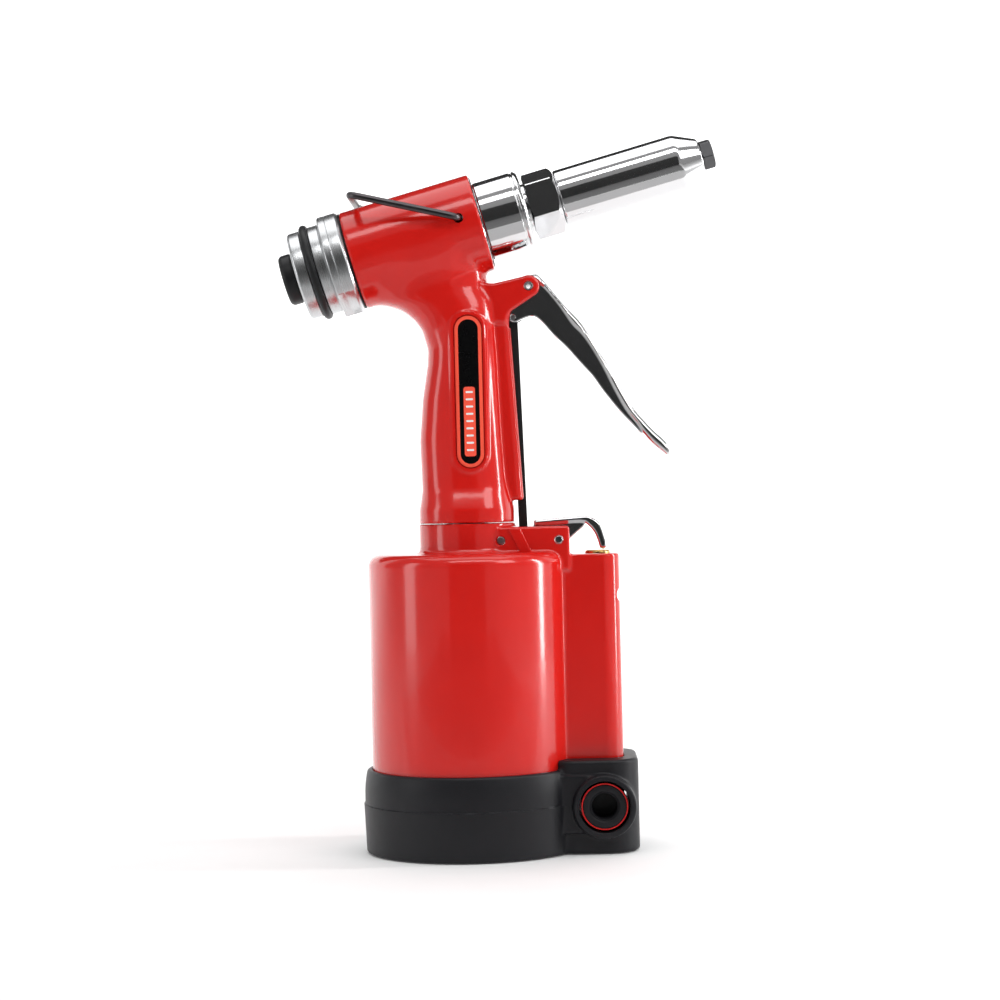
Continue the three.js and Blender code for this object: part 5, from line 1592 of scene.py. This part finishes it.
class RIVETGUN_OT_inlet(bpy.types.Operator):
    """Makes the sliding air inlet with its thread and red ring, and its stop cap"""

    bl_idname = "rivet_gun.inlet"
    bl_label = "Air Inlet"

    def execute(self, context):
        place = cross_place((VALVE_X, INLET_Z))
        face = SPOOL_FACE
        floor = face + 15
        spool = turned(
            "spool",
            [
                (0, floor), (5.6, floor, 0.3), (5.6, face + 0.9, 0.3), (6.5, face, 0.3), (8.8, face, 0.15),
                (8.8, face + 1.4),
                (9.6, face + 1.4), (9.6, -15.6, 0.3), (6.6, -15.6), (6.6, -8), (5.2, -8), (5.2, -6),
                (6.6, -6), (6.6, 6),
                (5.2, 6), (5.2, 8), (6.6, 8), (6.6, 21), (3.3, 21), (3.3, 15), (0, 15),
            ],
            96,
            place,
        )
        turn = []
        for k in range(8):
            angle = 2 * math.pi * k / 8
            turn.append((5.75 + 0.5 * math.cos(angle), face + 2.2 + 0.42 * math.sin(angle)))
        crest = turned("crest", turn, 64, place, True)
        pitch = sizes().thread_pitch
        thread = repeated("thread", crest, sizes().thread_turns, (0, pitch, 0), black_moulding())
        mesh, materials = merged_meshes("spool", [(spool, black_moulding()), (thread, black_moulding())])
        piece("inlet_slide_spool", mesh, "inlet_slide", materials, "inlet_spool")
        ring = turned(
            "ring", [(9.05, face - 0.02, 0.1), (9.6, face - 0.02, 0.15), (9.6, face + 1.1),
                     (9.05, face + 1.1)], 96, place, True
        )
        piece("inlet_red_ring", ring, "inlet_slide", red_moulding(), "spool_red_ring")
        far = -SPOOL_FACE
        cap = turned(
            "cap",
            [
                (0, 15.5), (3.0, 15.5, 0.2), (3.0, 21.3), (9.6, 21.3, 0.3), (9.6, far - 0.8, 0.6),
                (8.8, far, 0.5),
                (6.0, far, 0.4), (5.4, far - 0.8, 0.4), (0, far - 0.8),
            ],
            96,
            place,
        )
        piece("inlet_stop_cap", cap, "inlet_slide", black_moulding(), "spool_stop_cap")
        return {"FINISHED"}


class RIVETGUN_OT_plunger(bpy.types.Operator):
    """Makes the brass throttle plunger"""

    bl_idname = "rivet_gun.plunger"
    bl_label = "Throttle Plunger"

    def execute(self, context):
        top = PLUNGER_TOP
        groove = COLUMN_TOP - 5
        mesh = upright(
            "plunger",
            [
                (0, top - 12), (3.2, top - 12, 0.3), (3.2, top - 10), (5.2, top - 10, 0.3),
                (5.2, groove - 1.2, 0.2),
                (3.5, groove - 1.2), (3.5, groove + 1.2), (5.2, groove + 1.2, 0.2), (5.2, top - 0.5, 0.3),
                (4.7, top, 0.3),
                (2.2, top, 0.2), (1.9, top - 0.3, 0.2), (0, top - 0.3),
            ],
            VALVE_X,
            72,
        )
        piece("throttle_plunger_brass", mesh, "throttle_plunger", machined_brass(), "valve_plunger")
        return {"FINISHED"}


class RIVETGUN_OT_inner_parts(bpy.types.Operator):
    """Gives the pistons, springs, seals and jaws inside the tool their finishes"""

    bl_idname = "rivet_gun.inner_parts"
    bl_label = "Inner Parts"

    def execute(self, context):
        finishes = {
            "turned_aluminium": turned_aluminium,
            "chrome": polished_chrome,
            "steel": ground_steel,
            "dark_steel": blackened_steel,
            "brass": machined_brass,
            "black_rubber": black_rubber,
            "black_plastic": black_moulding,
        }
        slots = {entry["node"]: entry["material_slot"] for entry in frame["record"]["subparts"]}
        for name in INNER_NODES:
            node = frame["nodes"][name]
            material = finishes[slots[name]]()
            if not node.data.materials:
                raise RuntimeError(f"{name} has no material slot")
            for slot in node.material_slots:
                slot.link = "OBJECT"
                slot.material = material
        return {"FINISHED"}


INNER_NODES = (
    "cover_snap_ring", "cylinder_end_cover", "end_cover_seal", "air_piston", "air_piston_seal",
    "hydraulic_ram",
    "air_piston_spring", "ram_gland", "oil_tube", "valve_plunger_seal", "valve_spring", "spool_seal_right",
    "spool_seal_left", "pull_piston", "pull_piston_seal", "jaw_case", "jaw_upper", "jaw_lower",
    "jaw_pusher", "jaw_spring",
)


class RIVETGUN_OT_stage(bpy.types.Operator):
    """Sets up the pale floor, the soft boxes, the cards and the camera"""

    bl_idname = "rivet_gun.stage"
    bl_label = "Studio"

    def execute(self, context):
        self.floor()
        self.world(context)
        self.light("top_box", (0.0, 0.1, 1.4), (0, 0, 0.1), (1.4, 1.0), 7.0)
        self.light("strip_box", (0.1, -1.0, 1.5), (0, 0, 0.15), (1.3, 0.35), 6.5)
        self.light("right_strip", (1.2, 0.02, 0.35), (0, 0, 0.15), (0.13, 1.1), 9.0)
        self.light("right_high_box", (0.9, -0.75, 1.0), (0, 0, 0.2), (0.5, 0.6), 4.0)
        self.light("left_box", (-1.25, -0.5, 0.45), (0, 0, 0.15), (0.35, 1.0), 3.0)
        self.card("front_card", (0, -1.5, 0.48), (1.1, 0.96), 90, 0.012)
        self.card("front_floor_card", (0, -0.95, 0.002), (1.6, 1.1), 0, 0.12)
        self.card("near_floor_card", (0, -0.25, 0.002), (1.6, 0.28), 0, 0.42)
        self.card("high_rear_card", (0, 0.9, 1.15), (2.6, 1.1), 90, 0.02)
        self.camera(context)
        return {"FINISHED"}

    def floor(self):
        level, wall, curve, half, front, top = CAD_BOX[0][2] - 0.0004, 2.6, 1.0, 7.0, -7.0, 5.0
        run = [(front, level), (wall - curve, level)]
        for k in range(1, 25):
            angle = math.radians(90) * k / 24
            run.append((wall - curve + curve * math.sin(angle), level + curve - curve * math.cos(angle)))
        run.append((wall, top))
        points = [(x, y, z) for y, z in run for x in (-half, half)]
        faces = [(2 * k, 2 * k + 1, 2 * k + 3, 2 * k + 2) for k in range(len(run) - 1)]
        mesh = bpy.data.meshes.new("studio_floor")
        mesh.from_pydata(points, [], faces)
        mesh.shade_smooth()
        made = temporary(mesh)

        def paper(r):
            fibre = r.noise(r.object_place(), 30.0, 3.0)
            spot = r.node("ShaderNodeSeparateXYZ", {}, {"Vector": r.object_place()}, out="Y")
            reach = {"Value": spot, "From Min": -0.1, "From Max": 1.7}
            far = r.node("ShaderNodeMapRange", {"interpolation_type": "SMOOTHSTEP"}, reach)
            r.surface(
                {
                    "Base Color": r.blend(fibre, (0.84, 0.84, 0.84, 1), (0.88, 0.88, 0.88, 1)),
                    "Roughness": 0.85 + fibre * 0.05,
                    "Emission Color": r.blend(far, (0.04, 0.04, 0.04, 1), (0.9, 0.9, 0.9, 1)),
                    "Emission Strength": 1.0,
                }
            )

        mesh.materials.append(finish_named("floor_paper", paper))

    def world(self, context):
        world = bpy.data.worlds.new("studio_air")
        world.use_nodes = True
        context.scene.world = world
        r = Recipe(world.node_tree)
        light = r.node("ShaderNodeBackground", {}, {"Color": (1, 1, 1, 1), "Strength": 0.3})
        r.node("ShaderNodeOutputWorld", {}, {"Surface": light})
        context.scene.view_settings.view_transform = "Standard"

    def light(self, name, at, towards, size, power):
        """A soft box facing a point."""
        lamp = bpy.data.lights.new(name, "AREA")
        lamp.shape = "RECTANGLE"
        lamp.size, lamp.size_y = size
        lamp.energy = power
        made = bpy.data.objects.new(name, lamp)
        made.location = at
        aim = Vector(towards) - Vector(at)
        made.rotation_euler = aim.to_track_quat("-Z", "Y").to_euler()
        made.visible_camera = False
        bpy.context.scene.collection.objects.link(made)

    def card(self, name, centre, size, tilt, shade):
        """A dull card that only the polished and glossy faces see."""
        half_x, half_y = size[0] / 2, size[1] / 2
        corners = [(-half_x, -half_y, 0), (half_x, -half_y, 0), (half_x, half_y, 0), (-half_x, half_y, 0)]
        place = Matrix.Translation(centre) @ Matrix.Rotation(math.radians(tilt), 4, "X")
        mesh = bpy.data.meshes.new(name)
        mesh.from_pydata([place @ Vector(corner) for corner in corners], [], [(0, 1, 2, 3)])

        def cloth(r):
            weave = r.noise(r.object_place(), 400.0, 2.0)
            grey = (shade,) * 3
            r.surface({"Base Color": r.blend(weave, dimmed(grey, 0.9), dimmed(grey, 1.1)), "Roughness": 0.95})

        mesh.materials.append(finish_named(name + "_cloth", cloth))
        made = temporary(mesh)
        made.visible_camera = False
        made.visible_diffuse = False
        made.visible_shadow = False

    def camera(self, context):
        target = Vector((0.0139, 0.0, 0.1457))
        distance, swing, roll = 1.0, math.radians(1.1), math.radians(1.35)
        at = target + distance * Vector((math.sin(swing), -math.cos(swing), 0))
        lens = bpy.data.cameras.new("studio_camera")
        lens.sensor_width = 36.0
        lens.lens = 36.0 / 0.42
        lens.clip_end = 50.0
        made = bpy.data.objects.new("studio_camera", lens)
        ahead = (target - at).normalized()
        right = ahead.cross(Vector((0, 0, 1))).normalized()
        up = right.cross(ahead)
        up, right = up * math.cos(roll) + right * math.sin(roll), right * math.cos(roll) - up * math.sin(roll)
        turn = Matrix((right, up, -ahead)).transposed().to_4x4()
        made.matrix_world = Matrix.Translation(at) @ turn
        bpy.context.scene.collection.objects.link(made)
        context.scene.camera = made


OPERATORS = (
    RIVETGUN_OT_cylinder,
    RIVETGUN_OT_handle,
    RIVETGUN_OT_boot,
    RIVETGUN_OT_labels,
    RIVETGUN_OT_trigger,
    RIVETGUN_OT_linkage,
    RIVETGUN_OT_bail,
    RIVETGUN_OT_front_train,
    RIVETGUN_OT_rear_cap,
    RIVETGUN_OT_inlet,
    RIVETGUN_OT_plunger,
    RIVETGUN_OT_inner_parts,
    RIVETGUN_OT_stage,
)


class RIVETGUN_PT_panel(bpy.types.Panel):
    """Lists the pieces of the rivet gun"""

    bl_idname = "RIVETGUN_PT_panel"
    bl_label = "Rivet Gun"
    bl_space_type = "VIEW_3D"
    bl_region_type = "UI"
    bl_category = "Rivet Gun"

    def draw(self, context):
        for group in (context.scene.rivet_gun_sizes, context.scene.rivet_gun_colours):
            box = self.layout.box()
            for key in group.bl_rna.properties.keys():
                if key not in ("rna_type", "name"):
                    box.prop(group, key)
        for operator in OPERATORS:
            self.layout.operator(operator.bl_idname)


CLASSES = (RivetGunSizes, RivetGunColours, *OPERATORS, RIVETGUN_PT_panel)


def register():
    for one in CLASSES:
        bpy.utils.register_class(one)
    bpy.types.Scene.rivet_gun_sizes = bpy.props.PointerProperty(type=RivetGunSizes)
    bpy.types.Scene.rivet_gun_colours = bpy.props.PointerProperty(type=RivetGunColours)


def unregister():
    del bpy.types.Scene.rivet_gun_colours
    del bpy.types.Scene.rivet_gun_sizes
    for one in reversed(CLASSES):
        bpy.utils.unregister_class(one)


def main():
    register()
    for operator in OPERATORS:
        group, call = operator.bl_idname.split(".")
        getattr(getattr(bpy.ops, group), call)()


if __name__ == "__main__":
    main()
